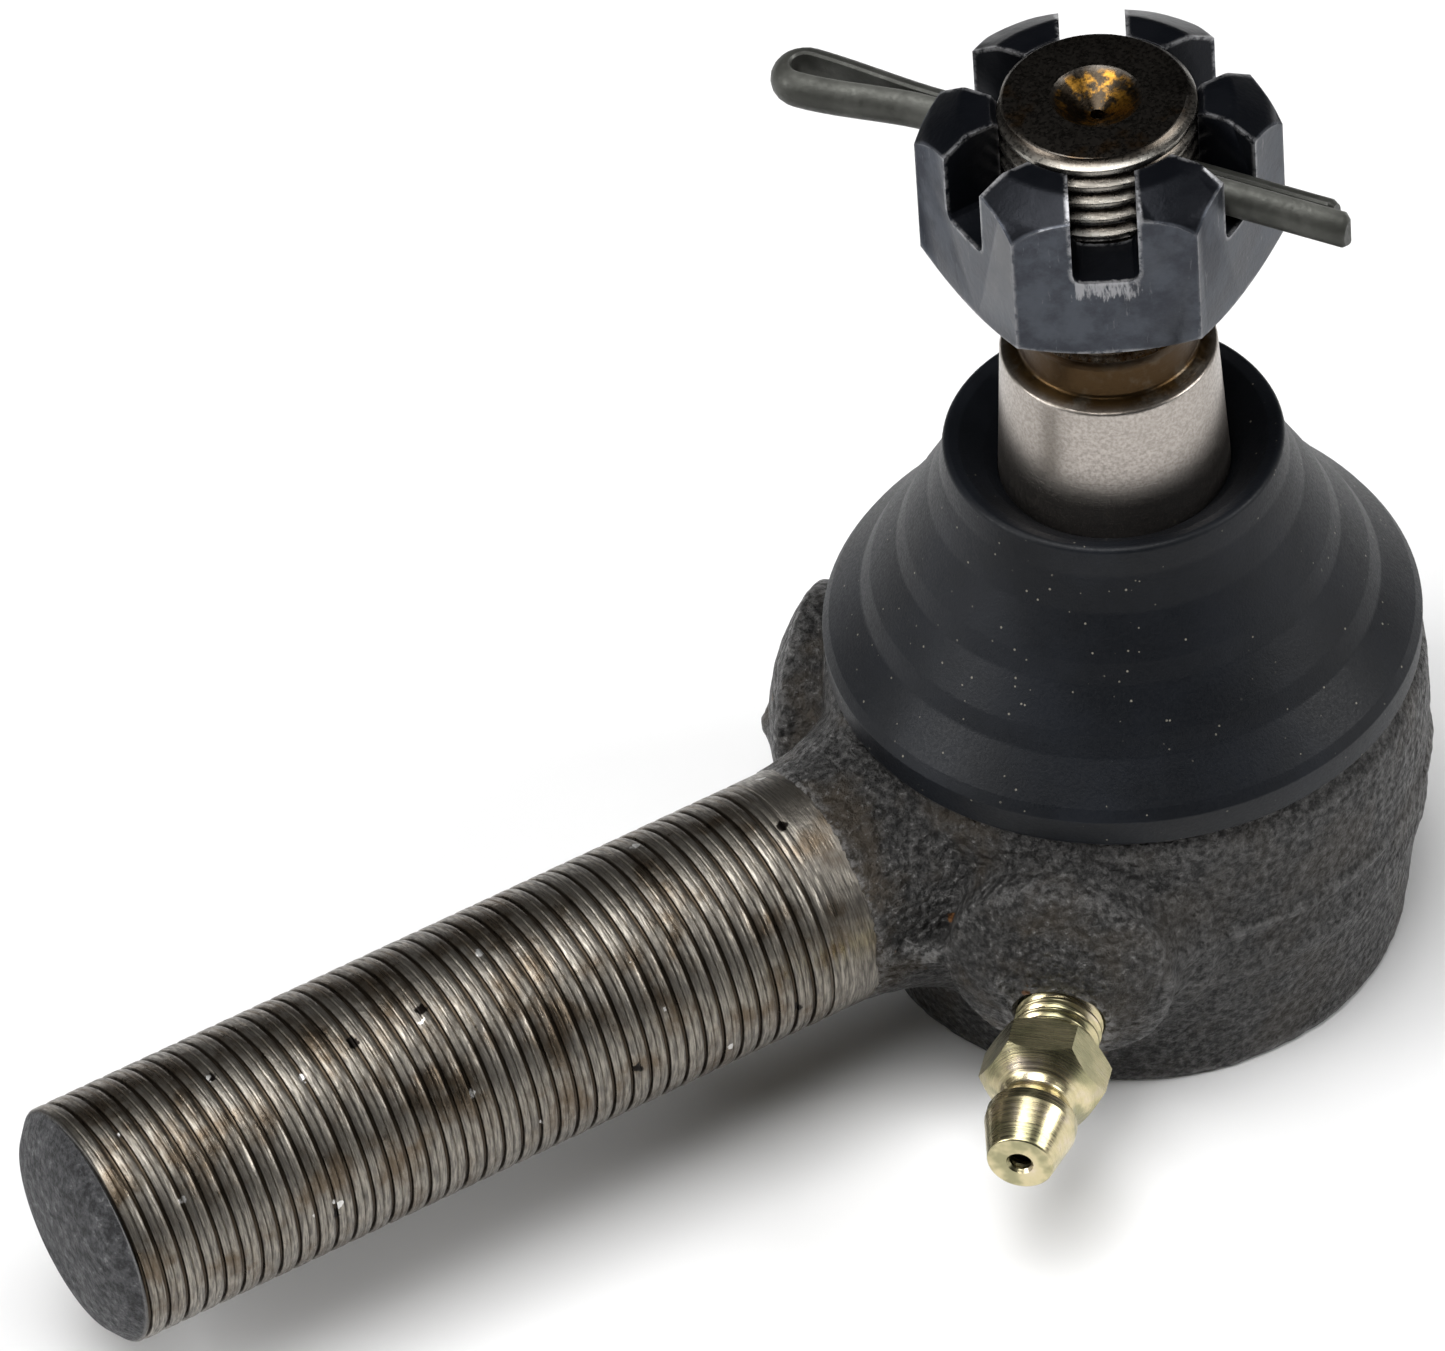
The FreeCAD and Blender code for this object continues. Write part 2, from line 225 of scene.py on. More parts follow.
def apply_modifier(piece: bpy.types.Object, kind: str, **settings: object) -> None:
    """Add one modifier to a piece, set it and apply it.

    Args:
        piece: The piece to change.
        kind: The modifier's type.
        **settings: The modifier's properties.
    """
    select_only(piece)
    modifier = piece.modifiers.new(kind.lower(), kind)
    for key, value in settings.items():
        setattr(modifier, key, value)
    bpy.ops.object.modifier_apply(modifier=modifier.name)


def combine(piece: bpy.types.Object, tool: bpy.types.Object, cut: Cut) -> None:
    """Cut, trim or join a piece with a tool solid, and throw the tool away.

    Args:
        piece: The piece that is changed.
        tool: The closed solid that changes it.
        cut: What the tool does.
    """
    apply_modifier(piece, "BOOLEAN", object=tool, operation=cut.value, solver="EXACT")
    bpy.data.objects.remove(tool)


def join(piece: bpy.types.Object, others: list[bpy.types.Object]) -> None:
    """Join other pieces into one piece's mesh, without merging them.

    Args:
        piece: The piece that takes them.
        others: The pieces that it takes.
    """
    select_only(piece)
    for other in others:
        other.select_set(True)
    bpy.ops.object.join()


def turn_by(piece: bpy.types.Object, matrix: Matrix) -> None:
    """Move a piece's mesh by a matrix and leave its object at the origin.

    Args:
        piece: The piece to move.
        matrix: The move, in the piece's own units.
    """
    select_only(piece)
    piece.matrix_world = matrix
    bpy.ops.object.transform_apply(location=True, rotation=True, scale=True)


def radial(angle: float, height: float) -> Matrix:
    """The move that lays a shape made along +Z outwards at an angle round the stud.

    Args:
        angle: The direction in degrees from +X.
        height: The axis's height in millimetres.

    Returns:
        The matrix.
    """
    lay = Matrix.Rotation(math.radians(90), 4, "Y")
    return Matrix.Translation((0, 0, height)) @ Matrix.Rotation(math.radians(angle), 4, "Z") @ lay


def dress(piece: bpy.types.Object, material: bpy.types.Material) -> None:
    """Give a piece its material.

    Args:
        piece: The piece.
        material: What it is made of.
    """
    piece.data.materials.clear()
    piece.data.materials.append(material)


def settle(piece: bpy.types.Object, angle: float, material: bpy.types.Material) -> None:
    """Shade a finished piece, bring it from millimetres to metres and dress it.

    Args:
        piece: The piece.
        angle: Faces that meet at more than this many degrees keep their edge.
        material: What it is made of.
    """
    select_only(piece)
    bpy.ops.object.shade_smooth_by_angle(angle=math.radians(angle))
    turn_by(piece, Matrix.Scale(MM, 4))
    dress(piece, material)


def report(piece: bpy.types.Object) -> None:
    """Log a finished piece's name and size."""
    low, high = Vector(piece.bound_box[0]), Vector(piece.bound_box[6])
    size = [round((b - a) / MM, 2) for a, b in zip(low, high)]
    log.info("%s: %d faces, %s mm", piece.name, len(piece.data.polygons), size)


# ----------------------------------------------------------------------
# Threads
# ----------------------------------------------------------------------


@dataclass(frozen=True)
class Thread:
    """One pitch of a rolled thread, in millimetres."""

    crest_r: float
    depth: float
    pitch: float
    crest_share: float = 0.42
    crease: float = 0.0
    steps: int = 72

    def outline(self) -> list[Point]:
        """One pitch of the thread's outline, from groove to groove.

        Returns:
            (radius, height) points; the last stands one pitch above the first.
        """
        crest = self.crest_share * self.pitch
        low = (self.pitch - crest) / 2
        root = 0.08 * self.pitch
        top = self.crest_r
        rise = [
            (top - self.depth, 0.0),
            (top - 0.93 * self.depth, root),
            (top - 0.22 * self.depth, low - 0.03),
            (top - 0.05 * self.depth, low + 0.05 * crest),
            (top, low + 0.18 * crest),
        ]
        fall = [(r, self.pitch - z) for r, z in reversed(rise)]
        seam = [(top, 0.43 * self.pitch), (top - self.crease, 0.5 * self.pitch), (top, 0.57 * self.pitch)]
        return rise + (seam if self.crease > 0 else []) + fall

    def rod(self, name: str, low: float, high: float) -> bpy.types.Object:
        """A closed right-hand threaded rod about Z.

        Args:
            name: The rod's name.
            low: Its lower end.
            high: Its upper end.

        Returns:
            The rod, in object mode, in millimetres.
        """
        turns = math.ceil((high - low) / self.pitch) + 3
        points = [Vector((r, 0, z)) for r, z in self.outline()]
        piece = start_point(name, points[0])
        draw_line(points)
        leave_edit()
        apply_modifier(
            piece, "SCREW", axis="Z", angle=2 * math.pi, screw_offset=self.pitch, iterations=turns,
            steps=self.steps, render_steps=self.steps, use_merge_vertices=True, merge_threshold=1e-4,
            use_smooth_shade=True,
        )
        turn_by(piece, Matrix.Translation((0, 0, low - 1.5 * self.pitch)))
        edit(piece)
        close_mesh(0.003)
        bpy.ops.mesh.bisect(
            plane_co=(0, 0, low), plane_no=(0, 0, 1), clear_inner=True, use_fill=True, threshold=1e-5
        )
        bpy.ops.mesh.select_all(action="SELECT")
        bpy.ops.mesh.bisect(
            plane_co=(0, 0, high), plane_no=(0, 0, 1), clear_outer=True, use_fill=True, threshold=1e-5
        )
        close_mesh(0.003)
        leave_edit()
        return piece

    def fade(self, piece: bpy.types.Object, start: float, end: float) -> None:
        """Let the grooves of a rod about Z run out towards its lower end.

        Args:
            piece: The rod.
            start: The height up to which there is no groove.
            end: The height from which the grooves are full.
        """
        for vertex in piece.data.vertices:
            share = min(1.0, max(0.0, (vertex.co.z - start) / (end - start)))
            radius = math.hypot(vertex.co.x, vertex.co.y)
            if radius < self.crest_r - self.depth - 0.1 or share >= 1.0:
                continue
            wanted = self.crest_r - (self.crest_r - radius) * share ** 2 * (3 - 2 * share)
            vertex.co.x *= wanted / radius
            vertex.co.y *= wanted / radius


# ----------------------------------------------------------------------
# Finishes
# ----------------------------------------------------------------------

Socket = bpy.types.NodeSocket


class Shader:
    """A material's node tree, built by named steps on object coordinates."""

    def __init__(self, name: str) -> None:
        """Start a material with an empty tree and a principled shader.

        Args:
            name: The material's name.
        """
        self.material = bpy.data.materials.new(name)
        self.material.use_nodes = True
        self.tree = self.material.node_tree
        self.tree.nodes.clear()
        self.skin = self.tree.nodes.new("ShaderNodeBsdfPrincipled")
        out = self.tree.nodes.new("ShaderNodeOutputMaterial")
        self.tree.links.new(self.skin.outputs["BSDF"], out.inputs["Surface"])
        self.place = self.tree.nodes.new("ShaderNodeTexCoord").outputs["Object"]

    def link(self, source: Socket | float | tuple, target: Socket) -> None:
        """Feed a socket from another socket or with a fixed value.

        Args:
            source: A socket, a number or a colour.
            target: The socket that takes it.
        """
        if isinstance(source, bpy.types.NodeSocket):
            self.tree.links.new(source, target)
        else:
            target.default_value = source

    def mapped(
        self, scale: tuple[float, float, float], centre: tuple[float, float, float] = (0, 0, 0)
    ) -> Socket:
        """Object coordinates, centred and scaled.

        Args:
            scale: Scale along X, Y and Z.
            centre: The point that becomes the origin, in metres.

        Returns:
            The mapped vector.
        """
        moved = self.tree.nodes.new("ShaderNodeVectorMath")
        moved.operation = "SUBTRACT"
        self.link(self.place, moved.inputs[0])
        moved.inputs[1].default_value = centre
        scaled = self.tree.nodes.new("ShaderNodeVectorMath")
        scaled.operation = "MULTIPLY"
        self.link(moved.outputs[0], scaled.inputs[0])
        scaled.inputs[1].default_value = scale
        return scaled.outputs[0]

    def noise(
        self, size: float, detail: float = 4.0, rough: float = 0.55, where: Socket | None = None
    ) -> Socket:
        """Fractal noise.

        Args:
            size: The size of its largest features, in millimetres.
            detail: Octaves.
            rough: How strong the finer octaves are.
            where: Coordinates to use instead of the object's.

        Returns:
            The noise, from 0 to 1.
        """
        node = self.tree.nodes.new("ShaderNodeTexNoise")
        node.inputs["Scale"].default_value = 1 / (size * MM)
        node.inputs["Detail"].default_value = detail
        node.inputs["Roughness"].default_value = rough
        self.link(where or self.place, node.inputs["Vector"])
        return node.outputs["Fac"]

    def warped(self, amount: float, size: float) -> Socket:
        """Object coordinates pushed about by noise, so that what is laid on them is uneven.

        Args:
            amount: How far they are pushed, in millimetres.
            size: The size of the pushes, in millimetres.

        Returns:
            The coordinates.
        """
        node = self.tree.nodes.new("ShaderNodeTexNoise")
        node.inputs["Scale"].default_value = 1 / (size * MM)
        self.link(self.place, node.inputs["Vector"])
        push = self.tree.nodes.new("ShaderNodeVectorMath")
        push.operation = "MULTIPLY_ADD"
        self.link(node.outputs["Color"], push.inputs[0])
        push.inputs[1].default_value = (2 * amount * MM,) * 3
        self.link(self.place, push.inputs[2])
        return push.outputs[0]

    def cells(self, size: float, where: Socket | None = None) -> Socket:
        """Distance to the nearest of scattered points.

        Args:
            size: Their spacing in millimetres.
            where: Coordinates to use instead of the object's.

        Returns:
            The distance, in cells.
        """
        node = self.tree.nodes.new("ShaderNodeTexVoronoi")
        node.inputs["Scale"].default_value = 1 / (size * MM)
        self.link(where or self.place, node.inputs["Vector"])
        return node.outputs["Distance"]

    def ramp(
        self, value: Socket, low: float, high: float, to_low: float = 0.0, to_high: float = 1.0
    ) -> Socket:
        """Map one range of a value onto another, smoothly and with its ends held.

        Args:
            value: The value to map.
            low: Start of the range.
            high: End of the range.
            to_low: What low becomes.
            to_high: What high becomes.

        Returns:
            The mapped value.
        """
        node = self.tree.nodes.new("ShaderNodeMapRange")
        node.interpolation_type = "SMOOTHSTEP"
        self.link(value, node.inputs["Value"])
        for key, number in (("From Min", low), ("From Max", high), ("To Min", to_low), ("To Max", to_high)):
            node.inputs[key].default_value = number
        return node.outputs["Result"]

    def maths(self, kind: str, first: Socket | float, second: Socket | float = 0.0) -> Socket:
        """One sum on two values.

        Args:
            kind: The operation.
            first: The first value.
            second: The second value.

        Returns:
            The result.
        """
        node = self.tree.nodes.new("ShaderNodeMath")
        node.operation = kind
        self.link(first, node.inputs[0])
        self.link(second, node.inputs[1])
        return node.outputs[0]

    def times(self, first: Socket | float, second: Socket | float) -> Socket:
        """The product of two values."""
        return self.maths("MULTIPLY", first, second)

    def plus(self, first: Socket | float, second: Socket | float) -> Socket:
        """The sum of two values."""
        return self.maths("ADD", first, second)

    def mix(self, share: Socket | float, first: Socket | tuple, second: Socket | tuple) -> Socket:
        """Mix two colours.

        Args:
            share: How much of the second.
            first: The first colour.
            second: The second colour.

        Returns:
            The mixed colour.
        """
        node = self.tree.nodes.new("ShaderNodeMix")
        node.data_type = "RGBA"
        self.link(share, node.inputs["Factor"])
        self.link(first, node.inputs["A"])
        self.link(second, node.inputs["B"])
        return node.outputs["Result"]

    def part(self, axis: str, where: Socket | None = None) -> Socket:
        """One coordinate of a point."""
        node = self.tree.nodes.new("ShaderNodeSeparateXYZ")
        self.link(where or self.place, node.inputs[0])
        return node.outputs[axis]

    def towards(self, angle: float) -> Socket:
        """How far a point lies from the stud's axis in one direction.

        Args:
            angle: The direction, in degrees from +X.

        Returns:
            The distance, in metres.
        """
        way = math.radians(angle)
        return self.plus(self.times(self.part("X"), math.cos(way)), self.times(self.part("Y"), math.sin(way)))

    def off_axis(self, first: Socket, second: Socket) -> Socket:
        """The length of the vector that two coordinates make."""
        squares = self.plus(self.times(first, first), self.times(second, second))
        return self.maths("SQRT", squares)

    def edges(self, reach: float = 0.5, low: float = 0.88, high: float = 0.62) -> Socket:
        """Where the solid is thin under the surface, as at an outer edge that wears.

        Args:
            reach: How far in an edge is felt, in millimetres.
            low: The openness at which wear starts.
            high: The openness at which it is full.

        Returns:
            The mask.
        """
        return self.ramp(self.openness(reach, True), low, high)

    def hollows(self, reach: float = 0.8, low: float = 0.85, high: float = 0.45) -> Socket:
        """Where the surface is sheltered, as in a corner where shade falls; the mask for painted shade.

        Args:
            reach: How far off a neighbour shelters it, in millimetres.
            low: The openness at which the painted shade starts.
            high: The openness at which it is full.

        Returns:
            The mask.
        """
        return self.ramp(self.openness(reach, False), low, high)

    def openness(self, reach: float, inside: bool) -> Socket:
        """How much is free of the piece's own surface within a reach, outside or inside it."""
        node = self.tree.nodes.new("ShaderNodeAmbientOcclusion")
        node.inside = inside
        node.only_local = True
        node.samples = 8
        node.inputs["Distance"].default_value = reach * MM
        return node.outputs["AO"]

    def bump(self, height: Socket, depth: float, under: Socket | None = None) -> Socket:
        """Bump from a height.

        Args:
            height: The height, from 0 to 1.
            depth: What 1 stands for, in millimetres.
            under: A bump that this one goes on top of.

        Returns:
            The normal.
        """
        node = self.tree.nodes.new("ShaderNodeBump")
        node.inputs["Strength"].default_value = 1.0
        node.inputs["Distance"].default_value = depth * MM
        self.link(height, node.inputs["Height"])
        if under is not None:
            self.link(under, node.inputs["Normal"])
        return node.outputs["Normal"]

    def finish(self, colour: Socket | tuple, roughness: Socket | float, metallic: Socket | float,
               normal: Socket | None = None, specular: float = 0.5) -> bpy.types.Material:
        """Set the shader's surface and return the material.

        Args:
            colour: Base colour.
            roughness: Roughness.
            metallic: Metallic share.
            normal: Bumped normal.
            specular: Specular level.

        Returns:
            The material.
        """
        self.link(colour, self.skin.inputs["Base Color"])
        self.link(roughness, self.skin.inputs["Roughness"])
        self.link(metallic, self.skin.inputs["Metallic"])
        self.skin.inputs["Specular IOR Level"].default_value = specular
        if normal is not None:
            self.link(normal, self.skin.inputs["Normal"])
        return self.material


def rgb(red: float, green: float, blue: float) -> tuple[float, float, float, float]:
    """A colour with full alpha."""
    return (red, green, blue, 1.0)


@dataclass(frozen=True)
class ForgedScale:
    """Rough forged steel: dark sandy scale, pale worn edges, brown stain and rust specks by the neck, painted
    glints and painted shade in the hollows.
    """

    dark: tuple = rgb(0.0125, 0.0122, 0.012)
    pale: tuple = rgb(0.068, 0.066, 0.064)
    brown: tuple = rgb(0.056, 0.044, 0.031)
    # Pale steel for worn edges, and also for painted glints.
    rubbed_and_glint: tuple = rgb(0.26, 0.255, 0.25)
    rust: tuple = rgb(0.22, 0.085, 0.015)

    def material(self) -> bpy.types.Material:
        """Build the material."""
        s = Shader("forged_scale")
        sand = s.noise(0.55, 4.0, 0.72)
        pits = s.noise(1.3, 4.0, 0.6)
        patches = s.noise(6.0, 4.0, 0.6)
        pebble = s.ramp(s.cells(0.8, s.warped(0.25, 1.6)), 0.1, 0.9, 1.0, 0.0)
        grit = s.plus(s.times(pebble, 0.35), s.times(sand, 0.65))
        colour = s.mix(s.ramp(sand, 0.38, 0.62), self.dark, self.pale)
        by_neck = s.ramp(s.part("X"), -0.008, -0.024)
        stain = s.times(s.ramp(patches, 0.44, 0.66), s.ramp(by_neck, 0.0, 1.0, 0.35, 1.0))
        colour = s.mix(s.times(stain, 0.8), colour, self.brown)
        # Painted glints: pale specks on the peaks of the sand stand in for sparkles of light, stronger by the
        # neck.
        painted_glint = s.times(s.ramp(sand, 0.59, 0.68), s.ramp(by_neck, 0.0, 1.0, 0.22, 0.55))
        colour = s.mix(painted_glint, colour, self.rubbed_and_glint)
        wear = s.times(s.edges(1.2, 0.95, 0.80), s.ramp(s.noise(0.8, 4.0, 0.7), 0.42, 0.60))
        colour = s.mix(s.times(wear, 0.8), colour, self.rubbed_and_glint)
        spots = s.times(s.ramp(s.noise(2.8, 3.0, 0.6), 0.69, 0.72), by_neck)
        colour = s.mix(s.times(spots, 0.8), colour, self.rust)
        # Painted shade: the hollows are darkened almost to black.
        painted_shade = s.hollows(2.2, 0.80, 0.45)
        colour = s.mix(s.times(painted_shade, 0.6), colour, rgb(0.010, 0.009, 0.008))
        normal = s.bump(pits, 0.5)
        normal = s.bump(grit, 0.8, normal)
        return s.finish(colour, s.ramp(sand, 0.3, 0.7, 0.58, 0.34), 0.55, normal)


@dataclass(frozen=True)
class RolledThread:
    """Oiled rolled thread: warm crests, grooves darkened brown by oil and painted shade, small nicks and a
    dull end with painted glints.
    """

    crest: tuple = rgb(0.30, 0.275, 0.235)
    dull: tuple = rgb(0.105, 0.096, 0.086)
    oily: tuple = rgb(0.092, 0.062, 0.034)
    # Dark brown for the grooves: oil, and painted shade in the thread roots.
    groove: tuple = rgb(0.055, 0.042, 0.029)
    crest_r: float = 8.93
    depth: float = 0.34
    axis_z: float = 15.3
    end_x: float = -85.9

    def material(self) -> bpy.types.Material:
        """Build the material."""
        s = Shader("rolled_thread")
        centre = (0, 0, self.axis_z * MM)
        where = s.mapped((1, 1, 1), centre)
        radius = s.off_axis(s.part("Y", where), s.part("Z", where))
        raised = s.ramp(radius, (self.crest_r - self.depth * 0.95) * MM, (self.crest_r - 0.02) * MM)
        streak = s.noise(0.14, 4.0, 0.6, s.mapped((1.0, 0.10, 0.10), centre))
        patches = s.noise(4.2, 5.0, 0.62)
        colour = s.mix(s.ramp(streak, 0.3, 0.7), self.crest, self.dull)
        colour = s.mix(s.times(s.ramp(patches, 0.45, 0.66), 0.75), colour, self.oily)
        # The grooves take the dark brown: oil, and painted shade in the thread roots.
        colour = s.mix(raised, self.groove, colour)
        ragged = s.warped(0.5, 0.7)
        nick = s.ramp(s.cells(4.4, ragged), 0.085, 0.065)
        colour = s.mix(s.times(nick, 0.8), colour, rgb(0.75, 0.74, 0.72))
        hole = s.ramp(s.cells(7.5, ragged), 0.075, 0.055)
        colour = s.mix(hole, colour, rgb(0.008, 0.006, 0.005))
        end = s.ramp(s.part("X"), (self.end_x - 0.35) * MM, (self.end_x + 0.1) * MM)
        sand = s.noise(0.7, 4.0, 0.72)
        forged = s.mix(s.ramp(sand, 0.38, 0.62), rgb(0.026, 0.026, 0.028), rgb(0.088, 0.089, 0.093))
        # Painted glints: pale specks on the peaks of the sand on the rough end.
        forged = s.mix(s.ramp(sand, 0.60, 0.70, 0.0, 0.6), forged, rgb(0.26, 0.26, 0.26))
        colour = s.mix(end, forged, colour)
        wear = s.times(s.edges(0.7, 0.80, 0.60), s.ramp(end, 0.0, 1.0, 0.6, 0.0))
        colour = s.mix(wear, colour, rgb(0.30, 0.30, 0.30))
        roughness = s.ramp(streak, 0.3, 0.7, 0.22, 0.40)
        roughness = s.plus(roughness, s.ramp(end, 0.0, 1.0, 0.28, 0.0))
        roughness = s.plus(roughness, s.ramp(patches, 0.45, 0.66, 0.08, 0.0))
        normal = s.bump(streak, 0.03)
        normal = s.bump(s.noise(0.9, 4.0, 0.6), 0.05, normal)
        normal = s.bump(s.times(sand, s.ramp(end, 0.0, 1.0, 1.0, 0.0)), 0.9, normal)
        metallic = s.ramp(end, 0.0, 1.0, 0.5, 0.95)
        return s.finish(colour, roughness, metallic, normal)


@dataclass(frozen=True)
class GroundSteel:
    """The stud: a satin ground taper, an oily relief and thread whose roots are darkened by oil and painted
    shade, a dark worn top and painted shade in its centre hole.
    """

    steel: tuple = rgb(0.46, 0.42, 0.385)
    shade: tuple = rgb(0.33, 0.30, 0.27)
    oil: tuple = rgb(0.105, 0.060, 0.022)
    relief: tuple = rgb(0.19, 0.155, 0.11)
    thread: tuple = rgb(0.30, 0.29, 0.265)
    dark: tuple = rgb(0.085, 0.076, 0.066)
    grease: tuple = rgb(0.36, 0.18, 0.028)
    relief_low: float = 54.2
    thread_low: float = 58.0
    crest_r: float = 6.93
    top: float = 77.1

    def material(self) -> bpy.types.Material:
        """Build the material."""
        s = Shader("ground_steel")
        lines = s.noise(0.10, 2.0, 0.5, s.mapped((0.05, 0.05, 1.0)))
        grain = s.noise(0.25, 3.0, 0.6)
        patches = s.noise(2.6, 5.0, 0.65)
        height = s.part("Z")
        radius = s.off_axis(s.part("X"), s.part("Y"))
        colour = s.mix(s.ramp(grain, 0.3, 0.7), self.steel, self.shade)
        above = s.ramp(height, (self.relief_low - 0.1) * MM, (self.relief_low + 0.4) * MM)
        colour = s.mix(above, colour, self.relief)
        threaded = s.ramp(height, (self.thread_low - 0.5) * MM, (self.thread_low + 0.5) * MM)
        colour = s.mix(threaded, colour, self.thread)
        oily = s.ramp(height, (self.thread_low + 0.4) * MM, (self.thread_low + 2.6) * MM, 1.0, 0.22)
        oily = s.times(s.times(above, oily), s.ramp(patches, 0.34, 0.52))
        colour = s.mix(oily, colour, self.oil)
        # The thread roots are darkened brown: oil, and painted shade.
        sunk = s.ramp(radius, (self.crest_r - 0.12) * MM, (self.crest_r - 0.6) * MM)
        colour = s.mix(s.times(s.times(sunk, above), 0.75), colour, rgb(0.035, 0.022, 0.012))
        face = s.ramp(height, (self.top - 0.25) * MM, (self.top - 0.03) * MM)
        colour = s.mix(face, colour, self.dark)
        stain = s.times(face, s.ramp(s.noise(3.5, 4.0, 0.6), 0.55, 0.68))
        colour = s.mix(s.times(stain, 0.7), colour, rgb(0.10, 0.055, 0.02))
        # Painted shade: the centre hole is painted dark brown, under golden grease patches.
        dimple = s.times(s.ramp(radius, 3.1 * MM, 2.7 * MM), s.ramp(height, 0.074, 0.0745))
        colour = s.mix(dimple, colour, rgb(0.038, 0.029, 0.020))
        golden = s.times(dimple, s.ramp(s.noise(1.6, 4.0, 0.6), 0.47, 0.60))
        colour = s.mix(golden, colour, self.grease)
        roughness = s.ramp(grain, 0.3, 0.7, 0.28, 0.40)
        roughness = s.plus(roughness, s.times(threaded, -0.04))
        normal = s.bump(lines, 0.012)
        normal = s.bump(s.noise(0.5, 4.0, 0.7), 0.012, normal)
        return s.finish(colour, roughness, 1.0, normal)


@dataclass(frozen=True)
class BlackOxide:
    """Black-oxide nut: blue-black, its flats painted greyer as painted light, with worn edges and a scrape
    under one slot.
    """

    black: tuple = rgb(0.0065, 0.0075, 0.0105)
    grey: tuple = rgb(0.064, 0.071, 0.085)
    flat_dark: tuple = rgb(0.031, 0.034, 0.043)
    worn: tuple = rgb(0.34, 0.34, 0.35)
    scraped_angle: float = 240.0
    flat_r: float = 11.0
    slot_low: float = 69.7

    def outwards(self, s: Shader) -> Socket:
        """How far a point stands out towards the nearest flat of the hexagon."""
        far: Socket | float = 0.0
        for turn in (0.0, 60.0, 120.0):
            far = s.maths("MAXIMUM", s.maths("ABSOLUTE", s.towards(turn)), far)
        return far

    def scraped(self, s: Shader) -> Socket:
        """The patch under the slot that a tool has scraped."""
        out = s.towards(self.scraped_angle)
        across = s.maths("ABSOLUTE", s.towards(self.scraped_angle - 90.0))
        ragged = s.noise(0.55, 4.0, 0.75, s.mapped((1.0, 1.0, 0.22)))
        low = s.ramp(s.part("Z"), (self.slot_low - 3.0) * MM, (self.slot_low - 0.9) * MM)
        area = s.times(s.ramp(across, 3.4 * MM, 1.9 * MM), low)
        area = s.times(area, s.ramp(out, (self.flat_r - 0.6) * MM, (self.flat_r - 0.2) * MM))
        area = s.times(area, s.ramp(s.part("Z"), (self.slot_low + 0.5) * MM, self.slot_low * MM))
        return s.ramp(s.plus(s.times(area, 0.40), ragged), 0.80, 0.96)

    def material(self) -> bpy.types.Material:
        """Build the material."""
        s = Shader("black_oxide")
        grain = s.noise(0.35, 4.0, 0.65)
        patches = s.noise(3.5, 5.0, 0.65)
        # Painted light: the hexagon's flats are painted grey, as if lit, while the tops and crown stay black.
        upright = s.ramp(self.outwards(s), (self.flat_r - 0.22) * MM, (self.flat_r - 0.06) * MM)
        flats = s.mix(s.ramp(patches, 0.36, 0.66), self.flat_dark, self.grey)
        colour = s.mix(upright, self.black, flats)
        radius = s.off_axis(s.part("X"), s.part("Y"))
        colour = s.mix(s.ramp(radius, 10.6 * MM, 9.6 * MM), colour, self.black)
        fine = s.noise(0.9, 5.0, 0.75)
        wear = s.times(s.edges(0.5, 0.86, 0.64), s.ramp(fine, 0.37, 0.56))
        colour = s.mix(s.times(wear, 0.75), colour, self.worn)
        scuff = s.times(s.ramp(s.noise(0.5, 4.0, 0.7, s.mapped((1.0, 1.0, 0.2))), 0.62, 0.74), upright)
        colour = s.mix(s.times(scuff, 0.25), colour, self.worn)
        colour = s.mix(s.times(self.scraped(s), 0.8), colour, self.worn)
        normal = s.bump(grain, 0.022)
        normal = s.bump(s.noise(2.2, 3.0), 0.04, normal)
        return s.finish(colour, s.ramp(patches, 0.3, 0.7, 0.28, 0.42), 0.6, normal, 0.25)


@dataclass(frozen=True)
class Phosphate:
    """Dark olive-grey phosphated wire, smooth and dull."""

    grey: tuple = rgb(0.042, 0.043, 0.037)
    pale: tuple = rgb(0.080, 0.081, 0.072)

    def material(self) -> bpy.types.Material:
        """Build the material."""
        s = Shader("phosphate")
        grain = s.noise(0.35, 3.0, 0.6)
        patches = s.noise(3.0, 3.0, 0.5)
        colour = s.mix(s.ramp(patches, 0.35, 0.7), self.grey, self.pale)
        colour = s.mix(s.times(s.edges(0.4, 0.80, 0.60), 0.5), colour, rgb(0.22, 0.22, 0.21))
        return s.finish(colour, s.ramp(grain, 0.3, 0.7, 0.40, 0.56), 0.6, s.bump(grain, 0.02))


@dataclass(frozen=True)
class BootRubber:
    """Satin black rubber with a faint bloom, lint and dust."""

    black: tuple = rgb(0.0034, 0.0043, 0.0062)
    bloom: tuple = rgb(0.0068, 0.0083, 0.0116)
    dust: tuple = rgb(0.30, 0.28, 0.23)

    def material(self) -> bpy.types.Material:
        """Build the material."""
        s = Shader("boot_rubber")
        grain = s.noise(0.22, 3.0, 0.6)
        cloud = s.noise(9.0, 4.0, 0.55)
        colour = s.mix(s.ramp(cloud, 0.35, 0.7), self.black, self.bloom)
        specks = s.times(s.ramp(s.cells(0.95), 0.11, 0.07), s.ramp(s.noise(1.7, 3.0), 0.46, 0.56))
        fibres = s.ramp(s.cells(4.0, s.mapped((1.0, 0.22, 0.5))), 0.035, 0.02)
        marks = s.maths("MINIMUM", s.plus(specks, fibres), 1.0)
        colour = s.mix(s.times(marks, 0.6), colour, self.dust)
        normal = s.bump(grain, 0.02)
        normal = s.bump(s.noise(3.5, 2.0), 0.05, normal)
        return s.finish(colour, s.ramp(grain, 0.3, 0.7, 0.40, 0.52), 0.0, normal, 0.22)


